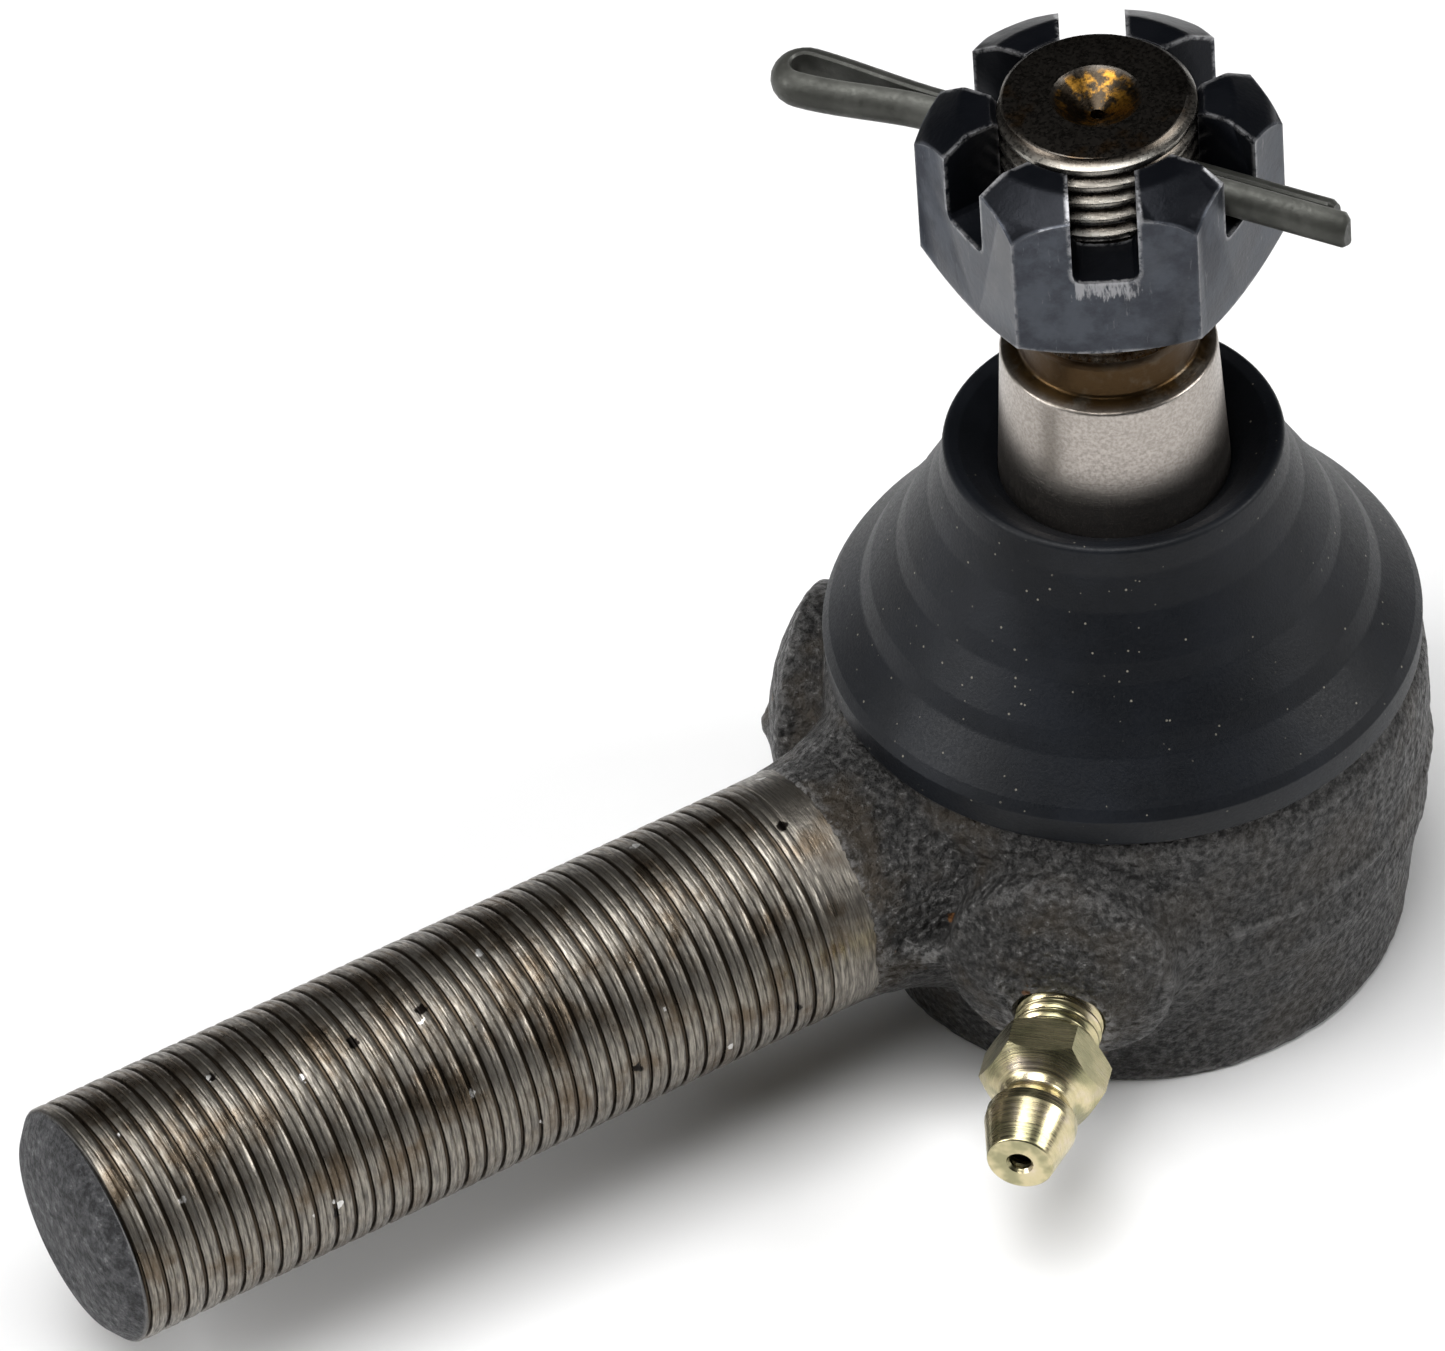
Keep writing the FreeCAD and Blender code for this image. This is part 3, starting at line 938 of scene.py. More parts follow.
@dataclass(frozen=True)
class YellowZinc:
    """Yellow zinc plating over turned steel, with painted shade on the hexagon and in the hollows."""

    yellow: tuple = rgb(0.62, 0.54, 0.33)
    olive: tuple = rgb(0.33, 0.31, 0.18)
    pink: tuple = rgb(0.70, 0.60, 0.47)
    angle: float = 226.5
    height: float = 12.0
    hex_low: float = 29.05
    hex_high: float = 32.6

    def material(self) -> bpy.types.Material:
        """Build the material."""
        s = Shader("yellow_zinc")
        along = s.towards(self.angle)
        line = s.tree.nodes.new("ShaderNodeCombineXYZ")
        s.link(along, line.inputs["X"])
        rings = s.noise(0.20, 3.0, 0.7, line.outputs[0])
        tint = s.noise(2.2, 3.0, 0.5)
        colour = s.mix(s.ramp(tint, 0.36, 0.55), self.olive, self.yellow)
        colour = s.mix(s.ramp(tint, 0.55, 0.70), colour, self.pink)
        # Painted shade: the hexagon is painted a darker olive.
        below = s.ramp(along, (self.hex_low - 0.2) * MM, self.hex_low * MM)
        on_hex = s.times(below, s.ramp(along, (self.hex_high + 0.1) * MM, (self.hex_high - 0.3) * MM))
        colour = s.mix(s.times(on_hex, 0.55), colour, self.olive)
        colour = s.mix(s.times(s.ramp(rings, 0.5, 0.7), 0.35), colour, self.olive)
        # Painted shade: the hollows are darkened brown.
        colour = s.mix(s.times(s.hollows(0.7, 0.6, 0.25), 0.7), colour, rgb(0.08, 0.06, 0.03))
        normal = s.bump(rings, 0.02)
        return s.finish(colour, s.ramp(rings, 0.3, 0.7, 0.20, 0.34), 1.0, normal)


@dataclass(frozen=True)
class PlainMetal:
    """A bearing, spring or plate: one metal with fine grain and faint stain."""

    name: str
    colour: tuple
    stain: tuple
    roughness: float
    metallic: float = 1.0

    def material(self) -> bpy.types.Material:
        """Build the material."""
        s = Shader(self.name)
        grain = s.noise(0.3, 4.0, 0.6)
        patches = s.noise(3.0, 3.0, 0.5)
        colour = s.mix(s.ramp(patches, 0.4, 0.75), self.colour, self.stain)
        roughness = s.ramp(grain, 0.3, 0.7, self.roughness * 0.85, self.roughness * 1.15)
        return s.finish(colour, roughness, self.metallic, s.bump(grain, 0.015))


# ----------------------------------------------------------------------
# Sub-assemblies, in millimetres about the stud's axis, with the housing's lower edge at height 0
# ----------------------------------------------------------------------


@dataclass
class Forging:
    """The forged eye: body, neck, two bosses, trimmed flash and the machined socket in it."""

    base_r: float = 19.7
    parting_r: float = 21.9
    shoulder_r: float = 21.7
    height: float = 25.5
    ball_z: float = 15.3
    lower_line_z: float = 10.4
    boss_r: float = 8.2
    boss_reach: float = 24.0
    boss_dome: float = 2.3
    boss_angles: tuple = (226.0, 134.0)
    fitting_angle: float = 226.5
    fitting_z: float = 12.0
    neck_end_x: float = -26.8
    shank_r: float = 8.98
    grain: float = 0.34
    spare: float = 0.5

    def eye_blank(self) -> bpy.types.Object:
        """The round body before it is joined to its neck and bosses."""
        outline = rounded([
            (0, -self.spare, 0),
            (self.base_r - 0.2, -self.spare, 1.2),
            (self.base_r + 1.2, self.lower_line_z - 0.2, 0),
            (self.base_r + 1.72, self.lower_line_z + 0.25, 0),
            (self.parting_r - 0.6, self.ball_z - 0.55, 0),
            (self.parting_r, self.ball_z - 0.1, 0.2),
            (self.parting_r, self.ball_z + 0.45, 0.2),
            (self.parting_r - 0.3, self.ball_z + 0.9, 0.2),
            (self.parting_r - 0.15, self.ball_z + 4.5, 3.0),
            (self.shoulder_r - 0.15, self.height - 1.4, 1.6),
            (self.shoulder_r - 1.5, self.height + self.spare, 0.8),
            (0, self.height + self.spare, 0),
        ])
        return turned("eye_blank", outline, 144)

    def boss_blank(self, angle: float) -> bpy.types.Object:
        """One boss: a short post with a domed face.

        Args:
            angle: Where it stands round the stud.

        Returns:
            The closed boss.
        """
        ball_r = (self.boss_r ** 2 + self.boss_dome ** 2) / (2 * self.boss_dome)
        centre = self.boss_reach + self.boss_dome - ball_r
        rim = math.asin(self.boss_r / ball_r)
        dome = [
            (ball_r * math.sin(rim * k / 8), centre + ball_r * math.cos(rim * k / 8))
            for k in range(8, -1, -1)
        ]
        flare = [
            (self.boss_r + 2.5, 18.4), (self.boss_r + 2.1, 19.7),
            (self.boss_r + 0.8, 20.4), (self.boss_r + 0.1, 21.3),
        ]
        outline = [(0, 8.0), (self.boss_r + 2.6, 8.0)] + flare + [(self.boss_r, self.boss_reach - 0.3)]
        boss = turned("boss_blank", outline + dome, 64)
        turn_by(boss, radial(angle, self.ball_z))
        return boss

    def neck_blank(self) -> bpy.types.Object:
        """The neck that flares from the shank into the body."""
        flare = [(9.0, 26.3), (9.15, 25.0), (9.45, 23.4), (9.95, 21.8), (10.7, 20.2), (12.0, 18.2)]
        start = [(0, -self.neck_end_x), (self.shank_r, -self.neck_end_x)]
        outline = start + flare + [(12.8, 14.0), (0, 14.0)]
        neck = turned("neck_blank", outline, 96)
        turn_by(neck, radial(180.0, self.ball_z))
        edit(neck)
        bpy.ops.mesh.bisect(
            plane_co=(0, 0, self.height - 0.4), plane_no=(0, 0, 1), clear_outer=True, use_fill=True,
            threshold=1e-5,
        )
        close_mesh()
        leave_edit()
        return neck

    def flash(self) -> bpy.types.Object:
        """The trimmed ridge where the dies met, along both sides of the neck as far as the bosses."""
        side = [(-26.6, 9.3), (-24.5, 10.1), (-22.6, 11.5), (-21.6, 13.4), (-21.2, 16.2), (-12.0, 21.9)]
        ring = side + [(0.0, 20.0), (0.0, -20.0)] + [(x, -y) for x, y in reversed(side)]
        points = [Vector((x, y, self.ball_z - 0.75)) for x, y in ring]
        plate = start_point("flash", points[0])
        draw_line(points + [points[0]])
        close_mesh()
        bpy.ops.mesh.select_all(action="SELECT")
        bpy.ops.mesh.edge_face_add()
        bpy.ops.mesh.extrude_region_move(TRANSFORM_OT_translate={"value": (0, 0, 1.5)})
        close_mesh()
        leave_edit()
        return plate

    def cavity(self) -> bpy.types.Object:
        """The machined socket: plate recess, bearing bore and mouth."""
        outline = [
            (0, -2.0), (14.9, -2.0), (14.6, 0.5), (14.6, 1.2),
            (16.5, 1.2), (16.5, 2.65), (15.0, 2.65), (15.0, 22.0),
            (11.2, 22.0), (12.8, self.height + 0.01), (13.3, self.height + 2.0), (0, self.height + 2.0),
        ]
        return turned("cavity", outline, 128)

    def faced(self) -> bpy.types.Object:
        """The block whose flat faces trim the forging above and below."""
        return turned("faced", [(0, 0), (60.0, 0), (60.0, self.height), (0, self.height)], 32)

    def fitting_hole(self) -> bpy.types.Object:
        """The grease fitting's threaded hole, with its countersunk mouth."""
        outline = [
            (0, 12.0), (1.2, 12.0), (1.2, 20.0), (3.2, 20.0),
            (3.2, 25.3), (3.6, 25.9), (3.6, 32.0), (0, 32.0),
        ]
        hole = turned("fitting_hole", outline, 48)
        turn_by(hole, radial(self.fitting_angle, self.fitting_z))
        return hole

    def forge(self) -> bpy.types.Object:
        """Join the blanks, let their joints flow together and roughen the skin.

        Returns:
            The forging before machining.
        """
        piece = self.eye_blank()
        blanks = [self.neck_blank(), self.flash()]
        blanks += [self.boss_blank(angle) for angle in self.boss_angles]
        join(piece, blanks)
        piece.name = "forged_housing"
        apply_modifier(piece, "REMESH", mode="VOXEL", voxel_size=self.grain, adaptivity=0.0)
        apply_modifier(piece, "SMOOTH", factor=0.5, iterations=2)
        for name, size, depth in (("hammer", 3.4, 0.20), ("scale", 0.95, 0.13)):
            texture = bpy.data.textures.new(name, "CLOUDS")
            texture.noise_scale = size
            texture.noise_depth = 2
            apply_modifier(
                piece, "DISPLACE", texture=texture, strength=depth, mid_level=0.5, texture_coords="LOCAL"
            )
        return piece

    def build(self) -> bpy.types.Object:
        """Make the housing, machine it and put it in place.

        Returns:
            The finished piece, in metres.
        """
        piece = self.forge()
        combine(piece, self.faced(), Cut.KEEP_COMMON)
        combine(piece, self.cavity(), Cut.TAKE_AWAY)
        combine(piece, self.fitting_hole(), Cut.TAKE_AWAY)
        settle(piece, 40.0, ForgedScale().material())
        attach(piece, Body.HOUSING.value)
        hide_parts("housing")
        report(piece)
        return piece


@dataclass
class Shank:
    """The threaded shank: a rolled thread that fades out at the neck, and a rough domed end."""

    thread: Thread = Thread(crest_r=8.93, depth=0.34, pitch=1.5, crest_share=0.74, crease=0.10)
    axis_z: float = 15.3
    start: float = 26.2
    full: float = 85.9
    end: float = 88.0

    def blank(self) -> bpy.types.Object:
        """The turned blank that trims the thread's end."""
        outline = rounded([
            (0, self.start - 1, 0),
            (self.thread.crest_r + 0.05, self.start - 1, 0),
            (self.thread.crest_r + 0.05, self.full, 0.6),
            (7.55, self.end - 0.9, 1.5),
            (5.2, self.end - 0.22, 2.0),
            (0, self.end, 0),
        ])
        return turned("shank_blank", outline, 96)

    def build(self) -> bpy.types.Object:
        """Make the shank and put it in place.

        Returns:
            The finished piece, in metres.
        """
        piece = self.thread.rod("threaded_shank", self.start, self.end + 1.0)
        self.thread.fade(piece, self.start + 1.6, self.start + 5.6)
        combine(piece, self.blank(), Cut.KEEP_COMMON)
        turn_by(piece, radial(180.0, self.axis_z))
        settle(piece, 40.0, RolledThread().material())
        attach(piece, Body.HOUSING.value)
        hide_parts("housing")
        report(piece)
        return piece


@dataclass
class Stud:
    """The ball stud: head, neck, taper, relief, thread and centre-drilled top."""

    thread: Thread = Thread(crest_r=6.93, depth=0.78, pitch=1.5, crest_share=0.34)
    ball_z: float = 15.3
    head_r: float = 9.2
    top: float = 77.1
    thread_low: float = 57.6
    pin_z: float = 71.5
    pin_hole_r: float = 1.65
    pin_angle: float = 123.0

    def blank(self) -> bpy.types.Object:
        """The turned stud below its thread."""
        ball = [
            (self.head_r * math.sin(math.radians(a)), self.ball_z - self.head_r * math.cos(math.radians(a)))
            for a in range(0, 82, 6)
        ]
        outline = ball + rounded([
            (9.09, self.ball_z - 1.4, 0),
            (7.2, self.ball_z - 1.4, 0),
            (6.6, 23.1, 0.5),
            (6.6, 31.6, 2.0),
            (8.60, 35.3, 1.2),
            (7.65, 54.2, 0.35),
            (6.35, 54.75, 0.4),
            (6.15, 56.9, 0.5),
            (6.3, 58.2, 0.0),
            (6.3, 60.0, 0.0),
            (0, 60.0, 0),
        ])
        return turned("ball_stud_turned", outline, 96)

    def thread_blank(self) -> bpy.types.Object:
        """The chamfered blank that trims the thread."""
        outline = rounded([
            (0, self.thread_low, 0),
            (6.15, self.thread_low, 0),
            (6.95, self.thread_low + 1.0, 0),
            (6.95, self.top - 0.5, 0.2),
            (6.42, self.top, 0.25),
            (0, self.top, 0),
        ])
        return turned("thread_blank", outline, 96)

    def dimple(self) -> bpy.types.Object:
        """The centre hole in the top."""
        outline = [
            (0, self.top - 2.6), (0.45, self.top - 2.5), (0.5, self.top - 1.7),
            (2.75, self.top - 0.35), (3.2, self.top + 0.02),
                   (3.2, self.top + 1.0), (0, self.top + 1.0)]
        return turned("dimple", outline, 64)

    def pin_hole(self) -> bpy.types.Object:
        """The cross hole for the split pin."""
        outline = [(0, -12.0), (self.pin_hole_r, -12.0), (self.pin_hole_r, 12.0), (0, 12.0)]
        hole = turned("pin_hole", outline, 32)
        turn_by(hole, radial(self.pin_angle, self.pin_z))
        return hole

    def build(self) -> bpy.types.Object:
        """Make the stud and put it in place.

        Returns:
            The finished piece, in metres.
        """
        piece = self.blank()
        upper = self.thread.rod("stud_thread", self.thread_low - 0.5, self.top + 1.0)
        combine(upper, self.thread_blank(), Cut.KEEP_COMMON)
        combine(piece, upper, Cut.ADD)
        combine(piece, self.dimple(), Cut.TAKE_AWAY)
        combine(piece, self.pin_hole(), Cut.TAKE_AWAY)
        settle(piece, 35.0, GroundSteel().material())
        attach(piece, Body.STUD.value)
        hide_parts("ball_stud")
        report(piece)
        return piece


@dataclass
class CastleNut:
    """The slotted nut: a hexagon with six slots and chamfered ends."""

    flats: float = 22.0
    low: float = 63.2
    high: float = 76.3
    bore_r: float = 6.97
    slot_w: float = 4.6
    slot_depth: float = 6.6

    def chamfer_blank(self) -> bpy.types.Object:
        """The turned blank whose cones chamfer the hexagon."""
        corner = self.flats / math.sqrt(3)
        outline = rounded([
            (0, self.low, 0),
            (11.0, self.low, 0.3),
            (corner + 0.3, self.low + 1.05, 0),
            (corner + 0.3, self.high - 3.2, 1.2),
            (12.0, self.high - 1.6, 2.5),
            (9.4, self.high, 1.2),
            (0, self.high, 0),
        ], 5)
        return turned("chamfer_blank", outline, 96)

    def slot(self, turn: float) -> bpy.types.Object:
        """One slot cutter, right across the nut, with rounded lower corners.

        Args:
            turn: Its direction in degrees.

        Returns:
            The cutter.
        """
        bpy.ops.object.select_all(action="DESELECT")
        bpy.ops.mesh.primitive_cube_add(size=1.0, location=(0, 0, 0))
        cutter = bpy.context.active_object
        tall = self.slot_depth + 4.0
        shape = Matrix.Diagonal((40.0, self.slot_w, tall, 1.0))
        turn_by(cutter, shape)
        edit(cutter)
        bpy.ops.mesh.select_mode(type="EDGE")
        bpy.ops.mesh.select_all(action="DESELECT")
        leave_edit()
        for edge in cutter.data.edges:
            ends = [cutter.data.vertices[i].co for i in edge.vertices]
            edge.select = all(p.z < 0 for p in ends) and abs(ends[0].x - ends[1].x) > 1
        bpy.ops.object.mode_set(mode="EDIT")
        bpy.ops.mesh.bevel(offset=0.8, segments=3)
        leave_edit()
        lift = Matrix.Translation((0, 0, self.high - self.slot_depth + tall / 2))
        turn_by(cutter, Matrix.Rotation(math.radians(turn), 4, "Z") @ lift)
        return cutter

    def build(self) -> bpy.types.Object:
        """Make the nut and put it in place.

        Returns:
            The finished piece, in metres.
        """
        piece = hexagon("slotted_nut", self.flats, self.low, self.high)
        combine(piece, self.chamfer_blank(), Cut.KEEP_COMMON)
        bore = turned("bore", [
            (0, self.low - 1), (self.bore_r + 1.4, self.low - 1), (self.bore_r + 0.5, self.low),
            (self.bore_r, self.low + 0.5), (self.bore_r, self.high - 0.4), (self.bore_r + 0.4, self.high),
            (self.bore_r + 0.8, self.high + 1), (0, self.high + 1),
        ], 96)
        combine(piece, bore, Cut.TAKE_AWAY)
        for turn in (0, 60, 120):
            combine(piece, self.slot(turn), Cut.TAKE_AWAY)
        apply_modifier(
            piece, "BEVEL", width=0.32, segments=3, limit_method="ANGLE", angle_limit=math.radians(28),
            use_clamp_overlap=True, harden_normals=False,
        )
        settle(piece, 30.0, BlackOxide().material())
        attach(piece, Body.STUD.value)
        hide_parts("castle_nut")
        report(piece)
        return piece


@dataclass
class SplitPin:
    """The split pin: half-round wire bent into an eye, with a long and a short leg."""

    radius: float = 1.5
    gap: float = 0.10
    long_tip: float = -19.1
    short_tip: float = -17.6
    eye_start: float = 12.3
    eye_end: float = 24.8
    eye_inner: float = 0.95
    eye_shift: float = 0.35
    height: float = 71.5
    angle: float = 123.0

    def route(self) -> list[Vector]:
        """The inner face of the wire, from the short leg's tip round the eye to the long leg's tip.

        Returns:
            Points in the pin's own plane, X along the pin towards the eye.
        """
        half = self.gap / 2
        centre = self.eye_end - self.radius - self.eye_inner
        steps = 10
        shares = [k / steps for k in range(steps + 1)]
        bulge = [half + (self.eye_inner - half) * (3 * q ** 2 - 2 * q ** 3) for q in shares]
        shift = [self.eye_shift * (3 * q ** 2 - 2 * q ** 3) for q in shares]
        along = [self.eye_start + (centre - self.eye_start) * q for q in shares]
        out = [Vector((x, d - w, 0)) for x, w, d in zip(along, bulge, shift)]
        back = [Vector((x, d + w, 0)) for x, w, d in zip(along, bulge, shift)]
        turns = [math.pi * k / 12 for k in range(1, 12)]
        arc = [
            Vector((centre + self.eye_inner * math.sin(q), self.eye_shift - self.eye_inner * math.cos(q), 0))
            for q in turns
        ]
        start = Vector((self.short_tip, -half, 0))
        end = Vector((self.long_tip, half, 0))
        return [start] + out + arc + back[::-1] + [end]

    def section(self) -> list[Point]:
        """The wire's half-round section: outwards from the flat, and along the stud."""
        r = self.radius
        arc = [(r * math.cos(math.radians(a)), r * math.sin(math.radians(a))) for a in range(-70, 71, 14)]
        return [(0.0, 0.18 - r), (0.14, 0.02 - r)] + arc + [(0.14, r - 0.02), (0.0, r - 0.18)]

    def sweep(self) -> bpy.types.Object:
        """Carry the section along the route and close both tips with rounded ends.

        Returns:
            The closed wire, in the pin's own plane.
        """
        points = self.route()
        section = self.section()
        middle = sum(u for u, _ in section) / len(section)
        rings: list[list[Vector]] = []
        for index, point in enumerate(points):
            before = points[max(index - 1, 0)]
            after = points[min(index + 1, len(points) - 1)]
            way = (after - before).normalized()
            side = Vector((way.y, -way.x, 0))
            ring = [point + side * u + Vector((0, 0, v)) for u, v in section]
            if index in (0, len(points) - 1):
                inward = way if index == 0 else -way
                centre = point + side * middle
                small = [centre + (p - centre) * 0.74 for p in ring]
                large = [p + inward * 0.38 for p in ring]
                rings += [small, large] if index == 0 else [large, small]
            else:
                rings.append(ring)
        count = len(section)
        faces: list[tuple[int, ...]] = [tuple(range(count))]
        for a in range(len(rings) - 1):
            for k in range(count):
                n = (k + 1) % count
                faces.append((a * count + k, a * count + n, (a + 1) * count + n, (a + 1) * count + k))
        faces.append(tuple(reversed(range((len(rings) - 1) * count, len(rings) * count))))
        mesh = bpy.data.meshes.new("split_pin")
        mesh.from_pydata([tuple(p) for ring in rings for p in ring], [], faces)
        piece = bpy.data.objects.new("split_pin", mesh)
        bpy.context.scene.collection.objects.link(piece)
        edit(piece)
        close_mesh()
        leave_edit()
        return piece

    def build(self) -> bpy.types.Object:
        """Make the pin and put it in place.

        Returns:
            The finished piece, in metres.
        """
        piece = self.sweep()
        turned_round = Matrix.Rotation(math.radians(self.angle), 4, "Z")
        turn_by(piece, Matrix.Translation((0, 0, self.height)) @ turned_round)
        settle(piece, 40.0, Phosphate().material())
        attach(piece, Body.PIN.value)
        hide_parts("cotter_pin")
        report(piece)
        return piece


@dataclass
class Boot:
    """The rubber boot: a rim on the housing, a domed wall and a thick lip round the stud."""

    low: float = 25.5
    rim_r: float = 21.4
    rim_top: float = 27.9
    lip_r: float = 12.0
    lip_z: float = 45.5
    hole_r: float = 8.22

    def outline(self) -> list[Point]:
        """The boot's closed section."""
        corners = [
            (18.8, self.low + 0.05, 0.0),
            (self.rim_r - 0.1, self.low + 0.05, 0.35),
            (self.rim_r, self.rim_top, 0.25),
            (20.9, 28.7, 0.5),
            (18.5, 31.45, 1.3),
            (17.75, 32.95, 1.5),
            (15.75, 35.8, 1.5),
            (15.05, 37.35, 1.6),
            (13.3, 40.5, 2.0),
            (12.35, 43.2, 2.0),
            (self.lip_r, self.lip_z, 0.45),
            (10.9, 45.2, 0.6),
            (9.2, 43.9, 0.6),
            (self.hole_r, 42.9, 0.3),
            (self.hole_r, 40.6, 0.3),
            (11.0, 39.4, 0.8),
            (13.1, 36.2, 2.0),
            (15.9, 32.0, 2.0),
            (18.4, 28.2, 0.8),
            (18.8, self.low + 0.05, 0.0),
        ]
        return rounded(corners, 6)

    def build(self) -> bpy.types.Object:
        """Make the boot in place between the housing and the stud.

        Returns:
            The finished piece, in metres.
        """
        piece = turned("rubber_boot", self.outline(), 128)
        settle(piece, 50.0, BootRubber().material())
        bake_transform(piece)
        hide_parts("dust_boot")
        report(piece)
        return piece


@dataclass
class GreaseFitting:
    """The grease fitting: thread, hexagon and head, along its own axis from the stud's axis."""

    thread: Thread = Thread(crest_r=3.17, depth=0.38, pitch=0.907, crest_share=0.24, steps=48)
    angle: float = 226.5
    height: float = 12.0
    thread_low: float = 20.5
    hex_low: float = 29.05
    hex_high: float = 32.85
    neck: float = 33.85
    tip: float = 39.65
    flats: float = 7.94

    def head_blank(self) -> bpy.types.Object:
        """The turned shape of the hexagon's chamfers, the neck and the head."""
        corner = self.flats / math.sqrt(3)
        outline = rounded([
            (0, self.hex_low, 0),
            (3.75, self.hex_low, 0),
            (corner + 0.05, self.hex_low + 0.55, 0),
            (corner + 0.05, self.hex_high - 1.1, 0),
            (2.75, self.neck - 0.55, 0.5),
            (2.35, self.neck + 0.1, 0.4),
            (2.95, self.tip - 4.9, 0.3),
            (3.27, self.tip - 4.3, 0.25),
            (3.27, self.tip - 3.5, 0.25),
            (2.35, self.tip, 0.2),
            (0, self.tip, 0),
        ])
        return turned("fitting_head", outline, 72)

    def build(self) -> bpy.types.Object:
        """Make the fitting and put it in place.

        Returns:
            The finished piece, in metres.
        """
        piece = hexagon("grease_fitting", self.flats, self.hex_low - 0.5, self.tip + 0.5)
        combine(piece, self.head_blank(), Cut.KEEP_COMMON)
        stem = self.thread.rod("fitting_thread", self.thread_low, self.hex_low + 0.2)
        combine(piece, stem, Cut.ADD)
        bore = turned("fitting_bore", [
            (0, 15.0), (1.2, 15.0), (1.2, self.tip - 1.3), (0.78, self.tip - 0.7), (0.78, self.tip - 0.25),
            (1.0, self.tip + 0.02), (1.0, self.tip + 2), (0, self.tip + 2),
        ], 48)
        combine(piece, bore, Cut.TAKE_AWAY)
        turn_by(piece, radial(self.angle, self.height))
        settle(piece, 32.0, YellowZinc().material())
        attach(piece, Body.HOUSING.value)
        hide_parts("grease_fitting_body")
        report(piece)
        return piece


@dataclass
class ClosingPlate:
    """The pressed plate under the housing, which the housing's rolled edge holds."""

    flat_r: float = 8.0
    step_r: float = 11.0
    rim_r: float = 16.45
    thickness: float = 1.4
    rise: float = 1.2

    def build(self) -> bpy.types.Object:
        """Make the plate and put it in place.

        Returns:
            The finished piece, in metres.
        """
        t = self.thickness
        outline = rounded([
            (0, 0, 0),
            (self.flat_r, 0, 2.0),
            (self.step_r, self.rise, 1.5),
            (self.rim_r, self.rise, 0.3),
            (self.rim_r, self.rise + t, 0.3),
            (self.step_r - 0.6, self.rise + t, 1.5),
            (self.flat_r - 0.6, t, 1.5),
            (0, t, 0),
        ], 6)
        piece = turned("closing_plate", outline, 128)
        steel = PlainMetal("plate_steel", rgb(0.30, 0.29, 0.28), rgb(0.17, 0.145, 0.12), 0.38)
        settle(piece, 40.0, steel.material())
        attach(piece, Body.HOUSING.value)
        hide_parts("cover_plate")
        report(piece)
        return piece


@dataclass
class Insides:
    """The frame's own bearings, springs and ball: they take a finish, and the check spring gets a copy of its
    own.
    """

    fitting_angle: float = 226.5
    fitting_z: float = 12.0
    spring_start: float = 27.5
    spring_end: float = 36.0

    def finishes(self) -> dict[str, PlainMetal]:
        """Which finish each node takes."""
        steel = PlainMetal("bearing_steel", rgb(0.56, 0.56, 0.57), rgb(0.40, 0.38, 0.35), 0.18)
        sinter = PlainMetal("sintered_bearing", rgb(0.20, 0.18, 0.16), rgb(0.12, 0.10, 0.085), 0.5)
        ball = PlainMetal("check_ball_steel", rgb(0.80, 0.80, 0.82), rgb(0.66, 0.66, 0.68), 0.12)
        return {
            "preload_spring": steel,
            "upper_bearing": steel,
            "lower_bearing": sinter,
            "half_ball": sinter,
            "check_ball": ball,
        }

    def dress(self) -> None:
        """Put the finishes on the nodes."""
        made: dict[str, bpy.types.Material] = {}
        for node, finish in self.finishes().items():
            if finish.name not in made:
                made[finish.name] = finish.material()
            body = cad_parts[node]
            body.data.materials.clear()
            body.data.materials.append(made[finish.name])
            log.info("%s: dressed with %s", node, finish.name)
        self.build_spring(made["bearing_steel"])

    def build_spring(self, finish: bpy.types.Material) -> bpy.types.Object:
        """A free copy of the frame's check spring.

        Args:
            finish: Its material.

        Returns:
            The finished piece, in metres.
        """
        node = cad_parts["check_spring"]
        piece = bpy.data.objects.new("check_coil", node.data.copy())
        bpy.context.scene.collection.objects.link(piece)
        turn_by(piece, node.matrix_world)
        dress(piece, finish)
        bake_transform(piece)
        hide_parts("check_spring")
        report(piece)
        return piece


# ----------------------------------------------------------------------
# Studio
# ----------------------------------------------------------------------


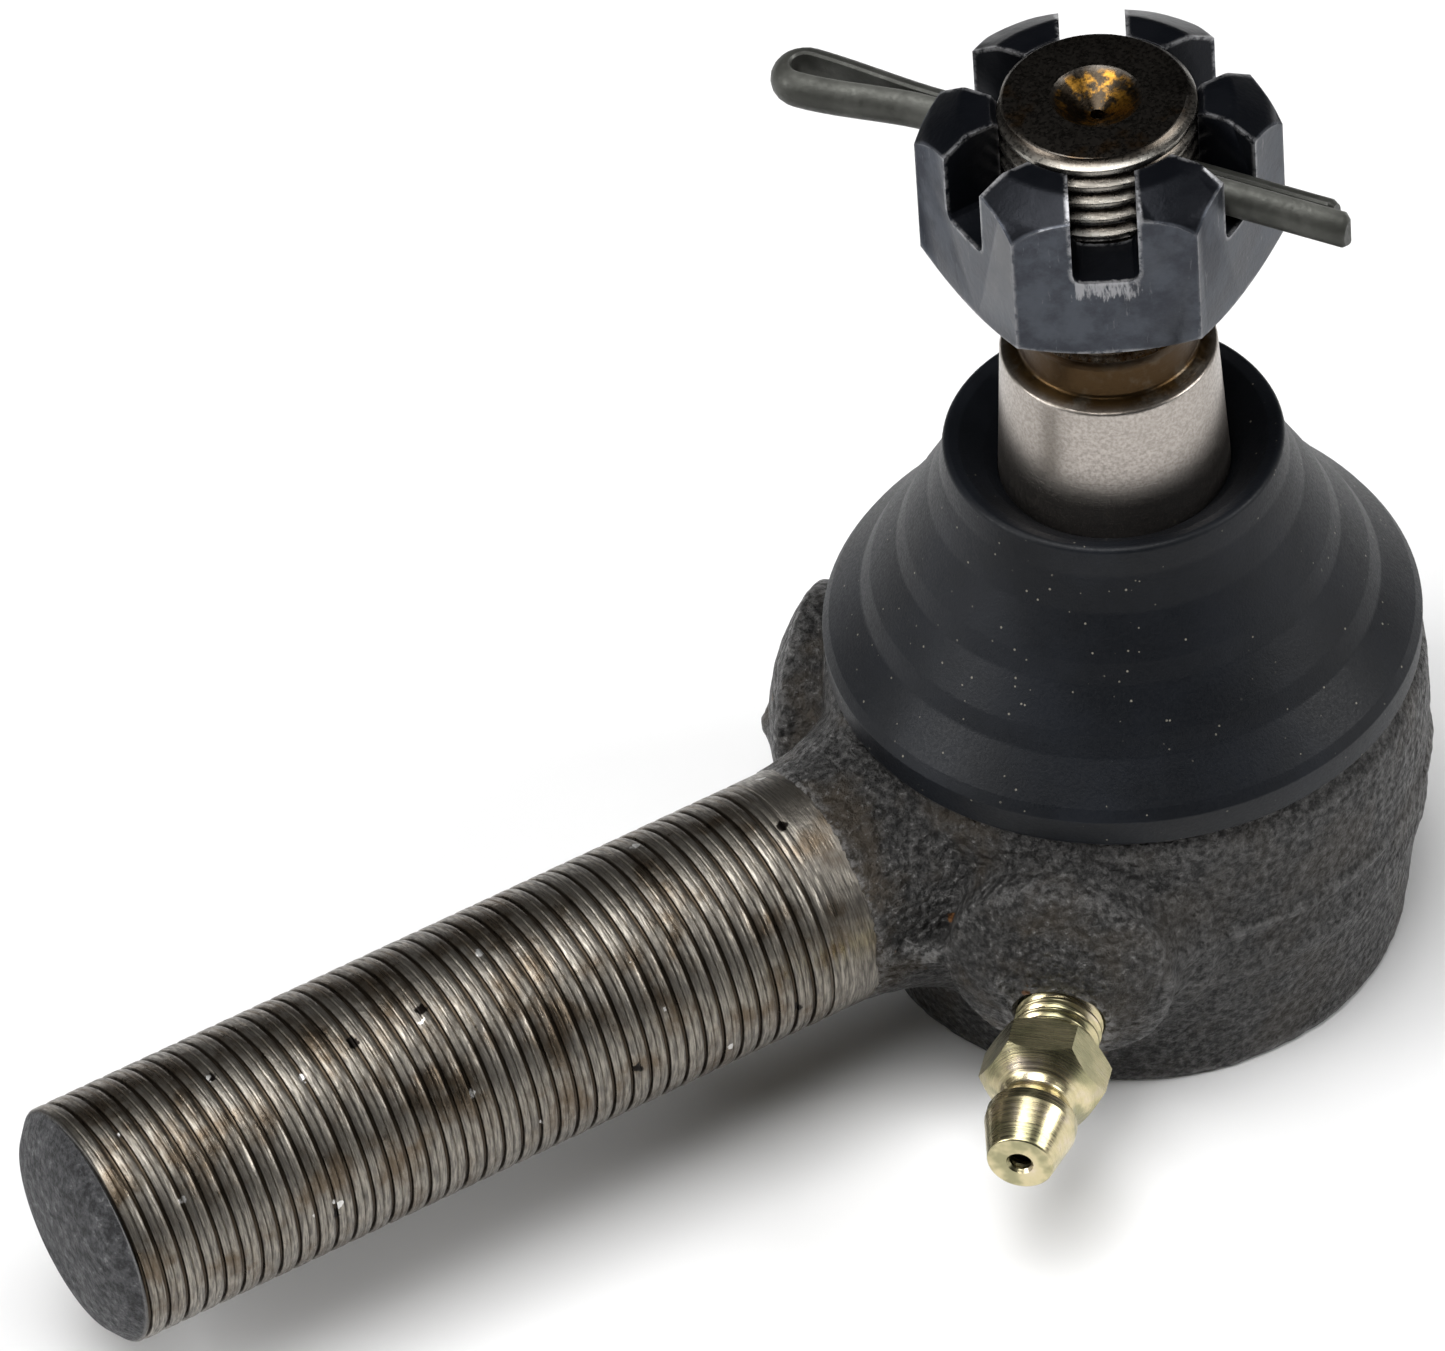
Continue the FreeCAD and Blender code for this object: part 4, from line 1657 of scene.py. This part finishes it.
@dataclass
class Studio:
    """Pale floor, soft lights and the camera."""

    azimuth: float = -27.80
    elevation: float = 44.06
    roll: float = -4.576
    stand: tuple = (30.068, 15.444, 952.62)
    lens: float = 326.4
    floor: float = 3.0
    floor_gap: float = 0.0002
    sky: tuple = (0.12, 0.50, 1.0, 0.14)
    lamps: tuple = (
        ("top", 200.0, 78.0, 1.5, 1.1, 25.0),
        ("left", 165.0, 28.0, 1.4, 0.6, 9.0),
        ("right", 325.0, 30.0, 1.4, 0.6, 9.0),
    )

    def add_floor(self) -> None:
        """A large pale floor just under the part."""
        bpy.ops.object.select_all(action="DESELECT")
        bpy.ops.mesh.primitive_plane_add(size=self.floor, location=(0, 0, -self.floor_gap))
        plane = bpy.context.active_object
        plane.name = "floor"
        s = Shader("floor_paint")
        pale = s.mix(s.noise(300.0, 1.0), rgb(0.86, 0.86, 0.86), rgb(0.90, 0.90, 0.90))
        s.finish(pale, 0.9, 0.0, None, 0.1)
        plane.data.materials.append(s.material)

    def add_light(self, name: str, azimuth: float, elevation: float, distance: float, size: float,
                  power: float) -> None:
        """A square soft light aimed at the joint.

        Args:
            name: The light's name.
            azimuth: Its direction round the part, in degrees from +X.
            elevation: Its height in degrees.
            distance: How far it stands, in metres.
            size: Its side, in metres.
            power: Its power in watts.
        """
        lamp = bpy.data.lights.new(name, "AREA")
        lamp.shape = "SQUARE"
        lamp.size = size
        lamp.energy = power
        holder = bpy.data.objects.new(name, lamp)
        bpy.context.scene.collection.objects.link(holder)
        a, e = math.radians(azimuth), math.radians(elevation)
        way = Vector((math.cos(a) * math.cos(e), math.sin(a) * math.cos(e), math.sin(e)))
        holder.location = Vector((-0.02, 0, 0.03)) + way * distance
        holder.rotation_mode = "QUATERNION"
        holder.rotation_quaternion = (-way).to_track_quat("-Z", "Y")

    def add_sky(self) -> None:
        """A surround that is white at the horizon and dim overhead, like a lit table in a dark room."""
        world = bpy.data.worlds.new("studio")
        world.use_nodes = True
        tree = world.node_tree
        back = tree.nodes["Background"]
        way = tree.nodes.new("ShaderNodeTexCoord").outputs["Generated"]
        split = tree.nodes.new("ShaderNodeSeparateXYZ")
        tree.links.new(way, split.inputs[0])
        dim = tree.nodes.new("ShaderNodeMapRange")
        dim.interpolation_type = "SMOOTHSTEP"
        tree.links.new(split.outputs["Z"], dim.inputs["Value"])
        for key, number in zip(("From Min", "From Max", "To Min", "To Max"), self.sky):
            dim.inputs[key].default_value = number
        tree.links.new(dim.outputs["Result"], back.inputs["Strength"])
        bpy.context.scene.world = world

    def add_camera(self) -> None:
        """The camera, from its angles and its stand-off, in the part's own frame."""
        a, e, r = (math.radians(v) for v in (self.azimuth, self.elevation, self.roll))
        right = Vector((math.cos(a), math.sin(a), 0))
        ahead = Vector((-math.sin(a) * math.cos(e), math.cos(a) * math.cos(e), -math.sin(e)))
        down = ahead.cross(right)
        rows = (right * math.cos(r) - down * math.sin(r), right * math.sin(r) + down * math.cos(r), ahead)
        stand = Vector(self.stand) * MM
        eye = -sum((rows[k] * stand[k] for k in range(3)), Vector())
        camera = bpy.data.objects.new("camera", bpy.data.cameras.new("camera"))
        bpy.context.scene.collection.objects.link(camera)
        axes = Matrix((rows[0], -rows[1], -rows[2])).transposed().to_4x4()
        camera.matrix_world = Matrix.Translation(eye) @ axes
        camera.data.sensor_width = 36.0
        camera.data.lens = self.lens
        camera.data.clip_start = 0.05
        camera.data.clip_end = 20.0
        bpy.context.scene.camera = camera

    def build(self) -> None:
        """Set up the whole studio."""
        self.add_floor()
        for lamp in self.lamps:
            self.add_light(*lamp)
        self.add_sky()
        self.add_camera()
        bpy.context.scene.view_settings.view_transform = "Standard"
        log.info("studio ready")


def main() -> None:
    """Build every sub-assembly in order, then the studio."""
    logging.basicConfig(level=logging.INFO, format="%(name)s: %(message)s")
    Forging().build()
    Shank().build()
    Stud().build()
    CastleNut().build()
    SplitPin().build()
    Boot().build()
    GreaseFitting().build()
    ClosingPlate().build()
    Insides().dress()
    Studio().build()


if __name__ == "__main__":
    main()
